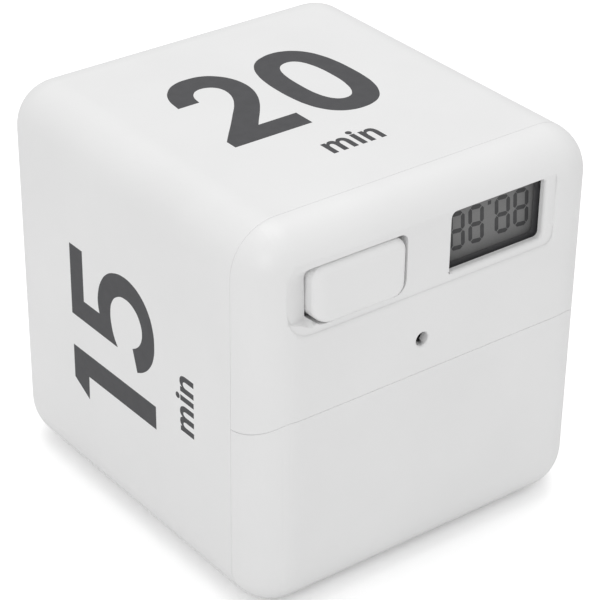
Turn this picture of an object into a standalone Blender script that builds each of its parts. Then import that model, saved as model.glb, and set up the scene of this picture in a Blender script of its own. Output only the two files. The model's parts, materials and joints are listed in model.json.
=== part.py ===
"""Cube timer: a rounded white cube that starts a countdown from the number turned upwards.

The front faces -Y, the rest face is at Z = 0 and the origin is the middle of the rest face.
All lengths are in metres.
"""

import math

import bmesh
import bpy
from mathutils import Matrix, Vector

MM = 0.001

# Case: one rounded block, parted behind its front and again across its front
CASE_DEPTH = 66.1 * MM
CASE_EDGE_RADIUS = 7.2 * MM
CASE_WALL = 2.2 * MM
CASE_EDGE_SEGMENTS = 12
INNER_EDGE_SEGMENTS = 5
CAP_DEPTH = 6.85 * MM
SPLIT_ABOVE_BAY = 4.9 * MM
SEAM_GAP = 0.3 * MM

# Fits shared by all pieces
FIT_GAP = 0.3 * MM
OVERLAP = 0.4 * MM
OVERRUN = 3.0 * MM
MERGE_DISTANCE = 0.01 * MM

# Tongue behind the front pieces, which centres them in the housing
TONGUE_WALL = 1.0 * MM
TONGUE_LENGTH = 2.4 * MM
HOOK_WIDTH = 6.0 * MM
HOOK_DEPTH = 1.4 * MM
HOOK_REACH = 0.7 * MM
HOOK_SPACING = 28.0 * MM

# Sunk band across the front panel, with a rounded outer edge
BAND_DEPTH = 0.45 * MM
BAND_LEFT_TO_SIDE = 4.75 * MM
BAND_RIGHT_TO_SIDE = 9.1 * MM
BAND_ABOVE_SOUND_HOLE = 7.65 * MM
BAND_LEFT_CORNER_RADIUS = 4.3 * MM
BAND_RIGHT_CORNER_RADIUS = 1.5 * MM
BAND_LIP_WIDTH = 1.3 * MM
BAND_LIP_STEPS = 4
CORNER_SEGMENTS = 5

# Display window in a thin wall, and behind it the display's frame, whose collar reaches into the window
WINDOW_WIDTH = 17.25 * MM
WINDOW_HEIGHT = 9.45 * MM
WINDOW_LOW_LEDGE = 1.15 * MM
WINDOW_SIDE_LEDGE = 1.75 * MM
WINDOW_TO_TOP = 5.05 * MM
WINDOW_TO_SLOT = 7.75 * MM
WINDOW_WALL = 0.8 * MM
WINDOW_DRAFT = 0.1 * MM
WINDOW_CORNER_RADIUS = 0.8 * MM
GLASS_BORDER = 0.8 * MM
GLASS_TOP_BORDER = 0.3 * MM
GLASS_BEHIND_WINDOW = 1.85 * MM
GLASS_PLATE = 1.1 * MM
GLASS_LEDGE = 1.8 * MM
FRAME_WALL = 0.6 * MM
FRAME_COLLAR_WALL = 0.5 * MM
FRAME_BEHIND_GLASS = 1.2 * MM

# Push button in its slot, with a thumb scoop on its left
BUTTON_HEIGHT = 8.85 * MM
BUTTON_CORNER_RADIUS = 2.0 * MM
BUTTON_FACE_RADIUS = 1.0 * MM
BUTTON_WALL = 1.3 * MM
BUTTON_FLANGE = 0.6 * MM
BUTTON_FLANGE_DEPTH = 0.9 * MM
BUTTON_STEM_WIDTH = 4.4 * MM
BUTTON_TRAVEL = 1.5 * MM
SLOT_GAP = 0.3 * MM
SLOT_LOW_GAP = 0.2 * MM
SLOT_TO_SIDE = 8.85 * MM
SLOT_ABOVE_BAND = 0.85 * MM
SLOT_SCOOP_CORNER_RADIUS = 1.4 * MM
SLOT_HIGH_LEFT_RADIUS = 0.5 * MM
SLOT_HIGH_RIGHT_RADIUS = 1.3 * MM
SCOOP_WIDTH = 4.2 * MM
SCOOP_DEPTH = 1.7 * MM
SCOOP_START_DEPTH = 0.04 * MM
SCOOP_START_RISE = 0.5 * MM
SCOOP_END_RISE = 0.4 * MM
SCOOP_CORNER_RADIUS = 3.4 * MM
SCOOP_EDGE_WIDTH = 0.3 * MM
SCOOP_DRAFT = 0.4 * MM
SCOOP_FADE_HEIGHT = 2.2 * MM
SCOOP_STEPS = 10
SCOOP_BEND = 1.35
SCOOP_EDGE_SHARES = ((0.0, 1.0), (0.1, 0.5), (0.35, 0.0))
SCOOP_FADE_SHARES = (0.0, 0.3, 0.6, 0.8, 1.0)
GUIDE_WALL = 1.4 * MM
GUIDE_DEPTH = 1.3 * MM

# Sound hole and sounder
SOUND_HOLE_RADIUS = 1.2 * MM
SOUND_HOLE_ROUNDING = 0.3 * MM
SOUND_HOLE_WALL = 1.7 * MM
SOUND_HOLE_X = -2.3 * MM
SOUND_HOLE_ABOVE_SPLIT = 5.3 * MM
SOUND_RECESS_RADIUS = 2.4 * MM
BUZZER_RADIUS = 4.5 * MM
BUZZER_DEPTH = 4.6 * MM
BUZZER_MOUTH_RADIUS = 1.0 * MM
BUZZER_MOUTH_DEPTH = 1.0 * MM

# Circuit board and what it carries
BOARD_BEHIND_WALL = 8.8 * MM
BOARD_THICKNESS = 1.2 * MM
BOARD_SIDE_CLEARANCE = 1.0 * MM
BOARD_TOP_CLEARANCE = 2.2 * MM
BOARD_ABOVE_SPLIT = 1.3 * MM
BOARD_CORNER_RADIUS = 2.4 * MM
SWITCH_WIDTH = 7.0 * MM
SWITCH_DEPTH = 4.1 * MM
PLUNGER_WIDTH = 3.0 * MM
CHIP_RADIUS = 4.2 * MM
CHIP_HEIGHT = 1.5 * MM
CHIP_X = -8.0 * MM
CHIP_ABOVE_BOARD_EDGE = 4.9 * MM
CRYSTAL_RADIUS = 1.0 * MM
CRYSTAL_LENGTH = 6.0 * MM
CRYSTAL_X = 2.5 * MM
CRYSTAL_ABOVE_BOARD_EDGE = 3.2 * MM
CAPACITOR_RADIUS = 2.5 * MM
CAPACITOR_LENGTH = 7.0 * MM
CAPACITOR_ROUNDING = 0.5 * MM
CAPACITOR_X = -18.0 * MM
CAPACITOR_ABOVE_BOARD_EDGE = 13.5 * MM
RESISTOR_LENGTH = 2.0 * MM
RESISTOR_WIDTH = 1.2 * MM
RESISTOR_HEIGHT = 0.6 * MM
RESISTOR_PITCH = 2.6 * MM
RESISTOR_COUNT = 5
RESISTOR_X = 17.5 * MM
RESISTOR_ABOVE_BOARD_EDGE = 8.0 * MM

# Two tilt sensors at right angles: a can, a base and a loose ball
TILT_RADIUS = 2.6 * MM
TILT_WALL = 0.3 * MM
TILT_LENGTH = 9.6 * MM
TILT_BASE_LENGTH = 2.2 * MM
TILT_BALL_RADIUS = 1.9 * MM
TILT_SPACING = 15.0 * MM
TILT_ABOVE_BOARD_EDGE = 15.6 * MM
TILT_ANGLE = math.radians(45)

# Screws
SCREW_HEAD_RADIUS = 1.8 * MM
SCREW_HEAD_HEIGHT = 1.2 * MM
SCREW_SHANK_RADIUS = 0.9 * MM
SCREW_TIP_LENGTH = 0.9 * MM
BOARD_SCREW_LENGTH = 7.0 * MM
BAY_SCREW_LENGTH = 9.0 * MM
BOSS_RADIUS = 1.75 * MM
BOSS_INSET_X = 3.2 * MM
BOSS_INSET_LOW = 3.0 * MM
BOSS_INSET_HIGH = 4.0 * MM
POST_RADIUS = 2.8 * MM
POST_TO_BAY_END = 11.7 * MM
WEB_THICKNESS = 1.2 * MM
WEB_DEPTH = 16.0 * MM

# Two round cells side by side, with their springs and contacts
CELL_RADIUS = 5.1 * MM
CELL_LENGTH = 44.5 * MM
CELL_NUB_RADIUS = 1.9 * MM
CELL_NUB_LENGTH = 0.9 * MM
CELL_EDGE = 0.5 * MM
CELL_PITCH = 11.4 * MM
CELL_BEHIND_COVER = 1.0 * MM
SPRING_LENGTH = 4.6 * MM
SPRING_WIRE_RADIUS = 0.25 * MM
SPRING_BASE_RADIUS = 3.9 * MM
SPRING_TOP_RADIUS = 2.3 * MM
SPRING_TURNS = 4
SPRING_POINTS_PER_TURN = 10
CONTACT_THICKNESS = 0.4 * MM
CONTACT_WIDTH = 8.6 * MM
CONTACT_TAB_WIDTH = 2.2 * MM
CONTACT_TAB_LENGTH = 2.6 * MM
CONTACT_CORNER_RADIUS = 0.8 * MM

# Battery bay and cover
BAY_WALL = 1.2 * MM
BAY_RIM_BEHIND_COVER = 0.5 * MM
BAY_RIB_HEIGHT = 2.2 * MM
BAY_RIB_LENGTH = 14.0 * MM
BAY_RIB_THICKNESS = 1.0 * MM
LUG_WIDTH = 6.4 * MM
COVER_RIB_THICKNESS = 1.0 * MM
COVER_RIB_SPACING = 22.0 * MM

# Leads from the bay to the board
LEAD_RADIUS = 0.55 * MM
LEAD_SLACK = 4.0 * MM
LEAD_LANDING_RISE = 3.4 * MM
LEAD_STAND_OFF = 1.5 * MM
LEAD_CLEARANCE = 1.4 * MM
LEAD_STEPS = 4

ROUND_STEPS = 24
SMALL_ROUND_STEPS = 16

# Insets of the forms that nest in the case
TONGUE_INSET = CASE_WALL + FIT_GAP
CAVITY_INSET = TONGUE_INSET + TONGUE_WALL
BAY_INSET = CAVITY_INSET + FIT_GAP

# Width: the bay holds a cell, its spring and a contact at each end, and the case closes round it
BAY_INNER_LENGTH = CELL_LENGTH + SPRING_LENGTH + 2 * CONTACT_THICKNESS + 5 * FIT_GAP
CASE_WIDTH = BAY_INNER_LENGTH + 2 * (BAY_WALL + BAY_INSET)
HOUSING_HALF_WIDTH = CASE_WIDTH / 2 - CASE_WALL
POST_X = BAY_INNER_LENGTH / 2 - POST_TO_BAY_END
BAND_LEFT_X = BAND_LEFT_TO_SIDE - CASE_WIDTH / 2
BAND_RIGHT_X = CASE_WIDTH / 2 - BAND_RIGHT_TO_SIDE
WINDOW_X = BAND_RIGHT_X - WINDOW_SIDE_LEDGE - WINDOW_DRAFT - WINDOW_WIDTH / 2
SLOT_LEFT_X = SLOT_TO_SIDE - CASE_WIDTH / 2
SLOT_RIGHT_X = WINDOW_X - WINDOW_WIDTH / 2 - WINDOW_DRAFT - WINDOW_TO_SLOT
BUTTON_X = (SLOT_LEFT_X + SLOT_RIGHT_X) / 2
BUTTON_WIDTH = SLOT_RIGHT_X - SLOT_LEFT_X - 2 * SLOT_GAP
BOARD_WIDTH = 2 * (HOUSING_HALF_WIDTH - BOARD_SIDE_CLEARANCE)
BOSS_X = BOARD_WIDTH / 2 - BOSS_INSET_X

# Height: the cells, then the seam, the sound hole, the band with its window, and the top edge
BAY_INNER_LOW_Z = BAY_INSET + BAY_WALL
CELL_LOW_Z = BAY_INNER_LOW_Z + FIT_GAP + CELL_RADIUS
CELL_HIGH_Z = CELL_LOW_Z + CELL_PITCH
BAY_MIDDLE_Z = (CELL_LOW_Z + CELL_HIGH_Z) / 2
BAY_INNER_HIGH_Z = CELL_HIGH_Z + CELL_RADIUS + FIT_GAP
SPLIT_Z = BAY_INNER_HIGH_Z + BAY_WALL + SPLIT_ABOVE_BAY
SOUND_HOLE_Z = SPLIT_Z + SOUND_HOLE_ABOVE_SPLIT
BAND_LOW_Z = SOUND_HOLE_Z + BAND_ABOVE_SOUND_HOLE
WINDOW_Z = BAND_LOW_Z + WINDOW_LOW_LEDGE + WINDOW_DRAFT + WINDOW_HEIGHT / 2
BUTTON_Z = BAND_LOW_Z + SLOT_ABOVE_BAND + SLOT_LOW_GAP + BUTTON_HEIGHT / 2
CASE_HEIGHT = WINDOW_Z + WINDOW_HEIGHT / 2 + WINDOW_TO_TOP
MIDDLE_Z = CASE_HEIGHT / 2
BOARD_LOW_Z = SPLIT_Z + BOARD_ABOVE_SPLIT
BOARD_HIGH_Z = CASE_HEIGHT - CASE_WALL - BOARD_TOP_CLEARANCE
BOSS_LOW_Z = BOARD_LOW_Z + BOSS_INSET_LOW
BOSS_HIGH_Z = BOARD_HIGH_Z - BOSS_INSET_HIGH

# Depth: planes from the front back
FRONT_Y = -CASE_DEPTH / 2
BACK_Y = CASE_DEPTH / 2
SEAM_Y = FRONT_Y + CAP_DEPTH
HOOK_FRONT_Y = SEAM_Y + SEAM_GAP / 2 + TONGUE_LENGTH - HOOK_DEPTH
WALL_BACK_Y = FRONT_Y + CASE_WALL
BAND_FLOOR_Y = FRONT_Y + BAND_DEPTH
WINDOW_BACK_Y = BAND_FLOOR_Y + WINDOW_WALL
FRAME_FRONT_Y = WALL_BACK_Y + FIT_GAP
GLASS_FRONT_Y = WINDOW_BACK_Y + GLASS_BEHIND_WINDOW
GLASS_BACK_Y = GLASS_FRONT_Y + 2 * GLASS_PLATE
GUIDE_BACK_Y = WALL_BACK_Y + GUIDE_DEPTH
FLANGE_FRONT_Y = GUIDE_BACK_Y + FIT_GAP
FLANGE_BACK_Y = FLANGE_FRONT_Y + BUTTON_FLANGE_DEPTH
BOARD_FRONT_Y = WALL_BACK_Y + BOARD_BEHIND_WALL
BOARD_BACK_Y = BOARD_FRONT_Y + BOARD_THICKNESS
CELL_Y = WALL_BACK_Y + CELL_BEHIND_COVER + CELL_RADIUS
BAY_RIM_Y = WALL_BACK_Y + BAY_RIM_BEHIND_COVER
BAY_FLOOR_Y = CELL_Y + CELL_RADIUS + FIT_GAP
BAY_BACK_Y = BAY_FLOOR_Y + BAY_WALL
POST_FRONT_Y = BAY_BACK_Y + FIT_GAP

WHITE_PLASTIC = (0.86, 0.86, 0.85)
BUTTON_PLASTIC = (0.87, 0.87, 0.86)
INNER_PLASTIC = (0.80, 0.80, 0.79)
DISPLAY_GREY = (0.16, 0.17, 0.16)
BOARD_GREEN = (0.02, 0.16, 0.07)
RUBBER_BLACK = (0.03, 0.03, 0.03)
STEEL_GREY = (0.55, 0.56, 0.57)
LEAD_RED = (0.55, 0.02, 0.02)
JACKET_BLUE = (0.03, 0.10, 0.30)

for old in list(bpy.data.objects):
    bpy.data.objects.remove(old, do_unlink=True)

parts = bpy.data.collections.new("cube_timer")
cutters = bpy.data.collections.new("cube_timer_cutters")
bpy.context.scene.collection.children.link(parts)
bpy.context.scene.collection.children.link(cutters)

root = bpy.data.objects.new("cube_timer", None)
parts.objects.link(root)


def material(name, colour, roughness=0.5, metallic=0.0):
    """A plain surface of one colour."""
    made = bpy.data.materials.new(name)
    made.use_nodes = True
    shader = made.node_tree.nodes["Principled BSDF"]
    shader.inputs["Base Color"].default_value = (*colour, 1.0)
    shader.inputs["Roughness"].default_value = roughness
    shader.inputs["Metallic"].default_value = metallic
    return made


def add_object(name, data, place=(0, 0, 0), turn=(0, 0, 0), surface=None, parent=None):
    """A finished piece in the part's collection."""
    made = bpy.data.objects.new(name, data)
    made.location = place
    made.rotation_euler = turn
    if surface is not None:
        data.materials.append(surface)
    parts.objects.link(made)
    made.parent = parent or root
    if parent is not None:
        made.matrix_parent_inverse = Matrix.Translation(-parent.location)
    return made


def add_helper(name, data, place=(0, 0, 0), turn=(0, 0, 0)):
    """A shape that only cuts or joins, kept out of the part."""
    made = bpy.data.objects.new(name, data)
    made.location = place
    made.rotation_euler = turn
    made.hide_render = True
    made.display_type = "WIRE"
    cutters.objects.link(made)
    return made


def change(piece, helper, operation):
    """Cuts, joins or trims a piece with a helper."""
    step = piece.modifiers.new(f"{operation.lower()} {helper.name}", "BOOLEAN")
    step.operation = operation
    step.object = helper
    step.solver = "EXACT"


def cut(piece, helper):
    change(piece, helper, "DIFFERENCE")


def join(piece, helper):
    change(piece, helper, "UNION")


def smooth_shading(mesh):
    """Smooth shading that stops at real edges."""
    mesh.shade_smooth()
    mesh.set_sharp_from_angle(angle=math.radians(35))


def settle(*pieces):
    """Fixes the cuts and joints of finished pieces into their meshes and shades their flat faces flat."""
    bpy.context.view_layer.update()
    graph = bpy.context.evaluated_depsgraph_get()
    for piece in pieces:
        mesh = bpy.data.meshes.new_from_object(piece.evaluated_get(graph))
        mesh.name = piece.name
        smooth_shading(mesh)
        piece.modifiers.clear()
        piece.data = mesh
        weighted = piece.modifiers.new("flat faces", "WEIGHTED_NORMAL")
        weighted.weight = 100
        weighted.keep_sharp = True


def finished_mesh(name, bm):
    """Closes a bmesh into a mesh, with sharp edges kept sharp."""
    bmesh.ops.recalc_face_normals(bm, faces=bm.faces)
    mesh = bpy.data.meshes.new(name)
    bm.to_mesh(mesh)
    bm.free()
    smooth_shading(mesh)
    return mesh


def cube_bmesh(size):
    """A block of the given size round its own middle."""
    bm = bmesh.new()
    bmesh.ops.create_cube(bm, size=1)
    bmesh.ops.scale(bm, vec=Vector(size), verts=bm.verts)
    return bm


def round_edges(bm, edges, radius, segments):
    """Rounds chosen edges of a bmesh."""
    bmesh.ops.bevel(
        bm,
        geom=edges,
        offset=radius,
        offset_type="OFFSET",
        segments=segments,
        profile=0.5,
        affect="EDGES",
        clamp_overlap=True,
    )


def along(bm, axis):
    """The edges that run along one axis."""
    return [e for e in bm.edges if abs((e.verts[1].co - e.verts[0].co).normalized()[axis]) > 0.999]


def block_mesh(name, size, corner_radius=0, corner_axis=1, segments=CORNER_SEGMENTS):
    """A block with its four edges along one axis rounded."""
    bm = cube_bmesh(size)
    if corner_radius > 0:
        round_edges(bm, along(bm, corner_axis), corner_radius, segments)
    return finished_mesh(name, bm)


def span(low, high):
    """The size and the middle of a box between two corners."""
    size = [h - l for l, h in zip(low, high)]
    middle = [(h + l) / 2 for l, h in zip(low, high)]
    return size, middle


def helper_block(name, low, high, corner_radius=0, corner_axis=1):
    """A helper box between two corners."""
    size, middle = span(low, high)
    return add_helper(name, block_mesh(name, size, corner_radius, corner_axis), middle)


def piece_block(name, low, high, surface, corner_radius=0, corner_axis=1, parent=None):
    """A boxlike piece between two corners."""
    size, middle = span(low, high)
    mesh = block_mesh(name, size, corner_radius, corner_axis)
    return add_object(name, mesh, middle, surface=surface, parent=parent)


def rounded_case_bmesh(inset):
    """The outer form of the case, or the form an inset inside it, in world places."""
    size = (CASE_WIDTH - 2 * inset, CASE_DEPTH - 2 * inset, CASE_HEIGHT - 2 * inset)
    bm = cube_bmesh(size)
    segments = INNER_EDGE_SEGMENTS if inset > 0 else CASE_EDGE_SEGMENTS
    round_edges(bm, list(bm.edges), max(CASE_EDGE_RADIUS - inset, OVERLAP), segments)
    bmesh.ops.translate(bm, vec=(0, 0, MIDDLE_Z), verts=bm.verts)
    return bm


def keep_side(bm, point, normal):
    """Cuts a closed bmesh with a plane, keeps the side that the normal points at, and closes the cut."""
    whole = list(bm.verts) + list(bm.edges) + list(bm.faces)
    found = bmesh.ops.bisect_plane(bm, geom=whole, plane_co=point, plane_no=normal, clear_inner=True)
    rim = [g for g in found["geom_cut"] if isinstance(g, bmesh.types.BMEdge)]
    bmesh.ops.edgeloop_fill(bm, edges=rim)


def cylinder_mesh(name, radius, length, steps=ROUND_STEPS):
    """A round bar along its own Z."""
    bm = bmesh.new()
    bmesh.ops.create_cone(
        bm, cap_ends=True, segments=steps, radius1=radius, radius2=radius, depth=length
    )
    return finished_mesh(name, bm)


FACE_FORWARD = (math.radians(90), 0, 0)
FACE_RIGHT = (0, math.radians(90), 0)


def helper_bar(name, radius, x, z, front_y, back_y, steps=ROUND_STEPS):
    """A round helper along Y between two planes."""
    mesh = cylinder_mesh(name, radius, back_y - front_y, steps)
    return add_helper(name, mesh, (x, (front_y + back_y) / 2, z), FACE_FORWARD)


def turned_mesh(name, profile, steps=ROUND_STEPS):
    """A piece turned round Z from a profile that runs from the top down its outer side."""
    mesh = bpy.data.meshes.new(name + "_profile")
    edges = [(i, i + 1) for i in range(len(profile) - 1)]
    mesh.from_pydata([(r, 0, z) for r, z in profile], edges, [])
    holder = bpy.data.objects.new(name + "_profile", mesh)
    cutters.objects.link(holder)
    screw = holder.modifiers.new("turn", "SCREW")
    screw.steps = steps
    screw.render_steps = steps
    screw.use_merge_vertices = True
    screw.merge_threshold = MERGE_DISTANCE
    screw.use_smooth_shade = True
    graph = bpy.context.evaluated_depsgraph_get()
    made = bpy.data.meshes.new_from_object(holder.evaluated_get(graph))
    made.name = name
    bpy.data.objects.remove(holder, do_unlink=True)
    smooth_shading(made)
    return made


def outline(left, right, low, high, radii):
    """Points of a rounded rectangle seen from the front; the radii go round from the low left corner."""
    centres = (
        (left + radii[0], low + radii[0], math.pi),
        (right - radii[1], low + radii[1], 1.5 * math.pi),
        (right - radii[2], high - radii[2], 0.0),
        (left + radii[3], high - radii[3], 0.5 * math.pi),
    )
    points = []
    for (x, z, start), radius in zip(centres, radii):
        for step in range(CORNER_SEGMENTS + 1):
            angle = start + 0.5 * math.pi * step / CORNER_SEGMENTS
            points.append((x + radius * math.cos(angle), z + radius * math.sin(angle)))
    return points


def across(y, points):
    """A ring of points in a plane across Y."""
    return [(x, y, z) for x, z in points]


def loft_mesh(name, rings):
    """A closed body through rings of points, with its first and last rings filled."""
    bm = bmesh.new()
    rims = []
    for ring in rings:
        verts = [bm.verts.new(point) for point in ring]
        rims.append([bm.edges.new((verts[i - 1], verts[i])) for i in range(len(verts))])
    for near, far in zip(rims, rims[1:]):
        bmesh.ops.bridge_loops(bm, edges=near + far)
    bmesh.ops.edgeloop_fill(bm, edges=rims[0])
    bmesh.ops.edgeloop_fill(bm, edges=rims[-1])
    return finished_mesh(name, bm)


def tube(name, points, radius, surface, place=(0, 0, 0), turn=(0, 0, 0), resolution=1):
    """A wire or a lead along a line of points."""
    curve = bpy.data.curves.new(name, "CURVE")
    curve.dimensions = "3D"
    curve.bevel_depth = radius
    curve.bevel_resolution = resolution
    curve.use_fill_caps = True
    line = curve.splines.new("POLY")
    line.points.add(len(points) - 1)
    for knot, point in zip(line.points, points):
        knot.co = (*point, 1.0)
    return add_object(name, curve, place, turn, surface)


white = material("white_moulding", WHITE_PLASTIC, 0.45)
button_white = material("button_moulding", BUTTON_PLASTIC, 0.4)
inner_white = material("inner_moulding", INNER_PLASTIC, 0.6)
glass = material("display_glass", DISPLAY_GREY, 0.15)
board_green = material("circuit_board", BOARD_GREEN, 0.5)
black = material("black_moulding", RUBBER_BLACK, 0.6)
rubber = material("conductive_rubber", RUBBER_BLACK, 0.8)
steel = material("bright_steel", STEEL_GREY, 0.35, 1.0)
red_cover = material("red_insulation", LEAD_RED, 0.5)
black_cover = material("black_insulation", RUBBER_BLACK, 0.5)
jacket = material("cell_jacket", JACKET_BLUE, 0.35)

# The three outer shells share the case's form, its inner forms and its seams
housing_inside = add_helper("housing_inside", finished_mesh("housing_inside", rounded_case_bmesh(CASE_WALL)))


def shell_part(name, sides):
    """The case's outer form kept on the given sides of its seams."""
    bm = rounded_case_bmesh(0)
    for point, normal in sides:
        keep_side(bm, point, normal)
    return finished_mesh(name, bm)


def tongue_mesh():
    """The front part of the housing's inner form, which the cap's tongue fills."""
    bm = rounded_case_bmesh(TONGUE_INSET)
    keep_side(bm, (0, SEAM_Y - SEAM_GAP / 2 - OVERLAP, 0), (0, 1, 0))
    keep_side(bm, (0, SEAM_Y + SEAM_GAP / 2 + TONGUE_LENGTH, 0), (0, -1, 0))
    return finished_mesh("cap_tongue", bm)


def hollow_mesh():
    """The room behind the cap's front wall."""
    bm = rounded_case_bmesh(CAVITY_INSET)
    bmesh.ops.translate(bm, vec=(0, CASE_WALL - CAVITY_INSET, 0), verts=bm.verts)
    return finished_mesh("cap_hollow", bm)


cap_tongue = add_helper("cap_tongue", tongue_mesh())
cap_hollow = add_helper("cap_hollow", hollow_mesh())


def cap_piece(name, other_low_z, other_high_z, parent=None):
    """One half of the front cap with its tongue: the whole cap less its other half."""
    mesh = shell_part(name, [((0, SEAM_Y - SEAM_GAP / 2, 0), (0, -1, 0))])
    piece = add_object(name, mesh, surface=white, parent=parent)
    other = helper_block(
        name + "_other_half",
        (-CASE_WIDTH, FRONT_Y - OVERRUN, other_low_z),
        (CASE_WIDTH, BACK_Y, other_high_z),
    )
    join(piece, cap_tongue)
    cut(piece, cap_hollow)
    cut(piece, other)
    return piece


def make_housing():
    """Deep box with four numbered walls and a back, open in front, and two long screw posts."""
    mesh = shell_part("main_housing", [((0, SEAM_Y + SEAM_GAP / 2, 0), (0, 1, 0))])
    piece = add_object("main_housing", mesh, surface=white)
    cut(piece, housing_inside)
    back_face_y = BACK_Y - CASE_WALL
    inner_radius = CASE_EDGE_RADIUS - CASE_WALL
    for side in (-1, 1):
        x = side * POST_X
        end = "left" if side < 0 else "right"
        post = helper_bar(f"post_{end}", POST_RADIUS, x, BAY_MIDDLE_Z, POST_FRONT_Y, back_face_y + OVERLAP)
        wall_x = side * (HOUSING_HALF_WIDTH + OVERLAP)
        web = helper_block(
            f"post_web_{end}",
            (min(x, wall_x), back_face_y - WEB_DEPTH, BAY_MIDDLE_Z - WEB_THICKNESS / 2),
            (max(x, wall_x), back_face_y + OVERLAP, BAY_MIDDLE_Z + WEB_THICKNESS / 2),
            inner_radius,
            2,
        )
        drop = helper_block(
            f"post_drop_{end}",
            (x - WEB_THICKNESS / 2, back_face_y - WEB_DEPTH, CASE_WALL - OVERLAP),
            (x + WEB_THICKNESS / 2, back_face_y + OVERLAP, BAY_MIDDLE_Z),
            inner_radius,
            0,
        )
        bore_depth = BAY_SCREW_LENGTH + FIT_GAP
        bore = helper_bar(
            f"post_bore_{end}",
            SCREW_SHANK_RADIUS + FIT_GAP,
            x,
            BAY_MIDDLE_Z,
            POST_FRONT_Y - OVERRUN,
            BAY_FLOOR_Y + bore_depth,
            SMALL_ROUND_STEPS,
        )
        join(piece, web)
        join(piece, drop)
        join(piece, post)
        cut(piece, bore)
    inner_top_z = CASE_HEIGHT - CASE_WALL
    for side in (-1, 1):
        x = side * HOOK_SPACING / 2
        end = "left" if side < 0 else "right"
        half = HOOK_WIDTH / 2 + FIT_GAP
        pocket = helper_block(
            f"hook_pocket_{end}",
            (x - half, HOOK_FRONT_Y - FIT_GAP, inner_top_z - OVERRUN),
            (x + half, HOOK_FRONT_Y + HOOK_DEPTH + FIT_GAP, inner_top_z - FIT_GAP + HOOK_REACH + FIT_GAP),
        )
        cut(piece, pocket)
    return piece


def band_mesh():
    """The sunk band: a flat floor, and an edge that rounds out to the front low and on the right."""
    top = CASE_HEIGHT + OVERRUN
    radii = [BAND_LEFT_CORNER_RADIUS] + [BAND_RIGHT_CORNER_RADIUS] * 3
    rings = []
    for step in range(BAND_LIP_STEPS + 1):
        angle = 0.5 * math.pi * step / BAND_LIP_STEPS
        out = BAND_LIP_WIDTH * (1 - math.cos(angle))
        forward = BAND_DEPTH * math.sin(angle)
        grown = [r + out for r in radii]
        points = outline(BAND_LEFT_X - out, BAND_RIGHT_X + out, BAND_LOW_Z - out, top + out, grown)
        rings.append(across(BAND_FLOOR_Y - forward, points))
    rings.append(across(FRONT_Y - OVERRUN, points))
    return loft_mesh("band", rings)


def window_mesh():
    """The display window, which narrows a little from the band's floor to the back of its thin wall."""
    rings = []
    for y, grow in (
        (FRONT_Y - OVERRUN, WINDOW_DRAFT),
        (BAND_FLOOR_Y, WINDOW_DRAFT),
        (WINDOW_BACK_Y, 0),
        (WALL_BACK_Y + OVERRUN, 0),
    ):
        half_width = WINDOW_WIDTH / 2 + grow
        half_height = WINDOW_HEIGHT / 2 + grow
        radius = WINDOW_CORNER_RADIUS + grow
        points = outline(
            WINDOW_X - half_width,
            WINDOW_X + half_width,
            WINDOW_Z - half_height,
            WINDOW_Z + half_height,
            [radius] * 4,
        )
        rings.append(across(y, points))
    return loft_mesh("window", rings)


def glass_sides():
    """Left, right, low and high edges of the display glass, without its lower ledge."""
    half_width = WINDOW_WIDTH / 2 + GLASS_BORDER
    low = WINDOW_Z - WINDOW_HEIGHT / 2 - GLASS_BORDER
    high = WINDOW_Z + WINDOW_HEIGHT / 2 + GLASS_TOP_BORDER
    return WINDOW_X - half_width, WINDOW_X + half_width, low, high


def collar_helper(name, grow, front_y, back_y):
    """A block of the window's size, grown on all sides, for the frame's collar and the room round it."""
    half_width = WINDOW_WIDTH / 2 + grow
    half_height = WINDOW_HEIGHT / 2 + grow
    low = (WINDOW_X - half_width, front_y, WINDOW_Z - half_height)
    high = (WINDOW_X + half_width, back_y, WINDOW_Z + half_height)
    return helper_block(name, low, high, WINDOW_CORNER_RADIUS + grow)


def frame_corners():
    """Low and high corners of the display's frame."""
    left, right, low, high = glass_sides()
    edge = FIT_GAP + FRAME_WALL
    return (
        (left - edge, FRAME_FRONT_Y, low - GLASS_LEDGE - edge),
        (right + edge, GLASS_BACK_Y + FRAME_BEHIND_GLASS, high + edge),
    )


def slot_sides():
    """Left, right, low and high edges of the button's slot."""
    low = BUTTON_Z - BUTTON_HEIGHT / 2 - SLOT_LOW_GAP
    high = BUTTON_Z + BUTTON_HEIGHT / 2 + SLOT_GAP
    return SLOT_LEFT_X, SLOT_RIGHT_X, low, high


def scoop_mesh():
    """The thumb scoop: a ramp that steepens towards the button, over a wall along the band's corner."""
    left, right, low, high = slot_sides()
    radius = SCOOP_CORNER_RADIUS
    front = FRONT_Y - OVERRUN
    floor = BAND_FLOOR_Y
    length = SCOOP_WIDTH + SLOT_SCOOP_CORNER_RADIUS
    rings = []
    for step in range(SCOOP_STEPS + 1):
        way = step / SCOOP_STEPS
        from_start = way * length
        inside = max(radius - from_start, 0)
        lift = radius - math.sqrt(radius * radius - inside * inside)
        share = min(from_start / SCOOP_WIDTH, 1)
        depth = SCOOP_START_DEPTH + (SCOOP_DEPTH - SCOOP_START_DEPTH) * share**SCOOP_BEND
        foot = low + SCOOP_START_RISE * (1 - way) + SCOOP_END_RISE * way + lift
        edge = SCOOP_EDGE_WIDTH * depth / SCOOP_DEPTH
        draft = SCOOP_DRAFT * depth / SCOOP_DEPTH
        profile = [(front, foot - edge)]
        for down, out in SCOOP_EDGE_SHARES:
            profile.append((floor + depth * down, foot - edge * out))
        profile.append((floor + depth, foot + draft))
        for fade in SCOOP_FADE_SHARES:
            profile.append((floor + depth * (1 - fade * fade), high - SCOOP_FADE_HEIGHT * (1 - fade)))
        profile.append((front, high))
        rings.append([(left - SCOOP_WIDTH + from_start, y, z) for y, z in profile])
    return loft_mesh("scoop", rings)


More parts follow.
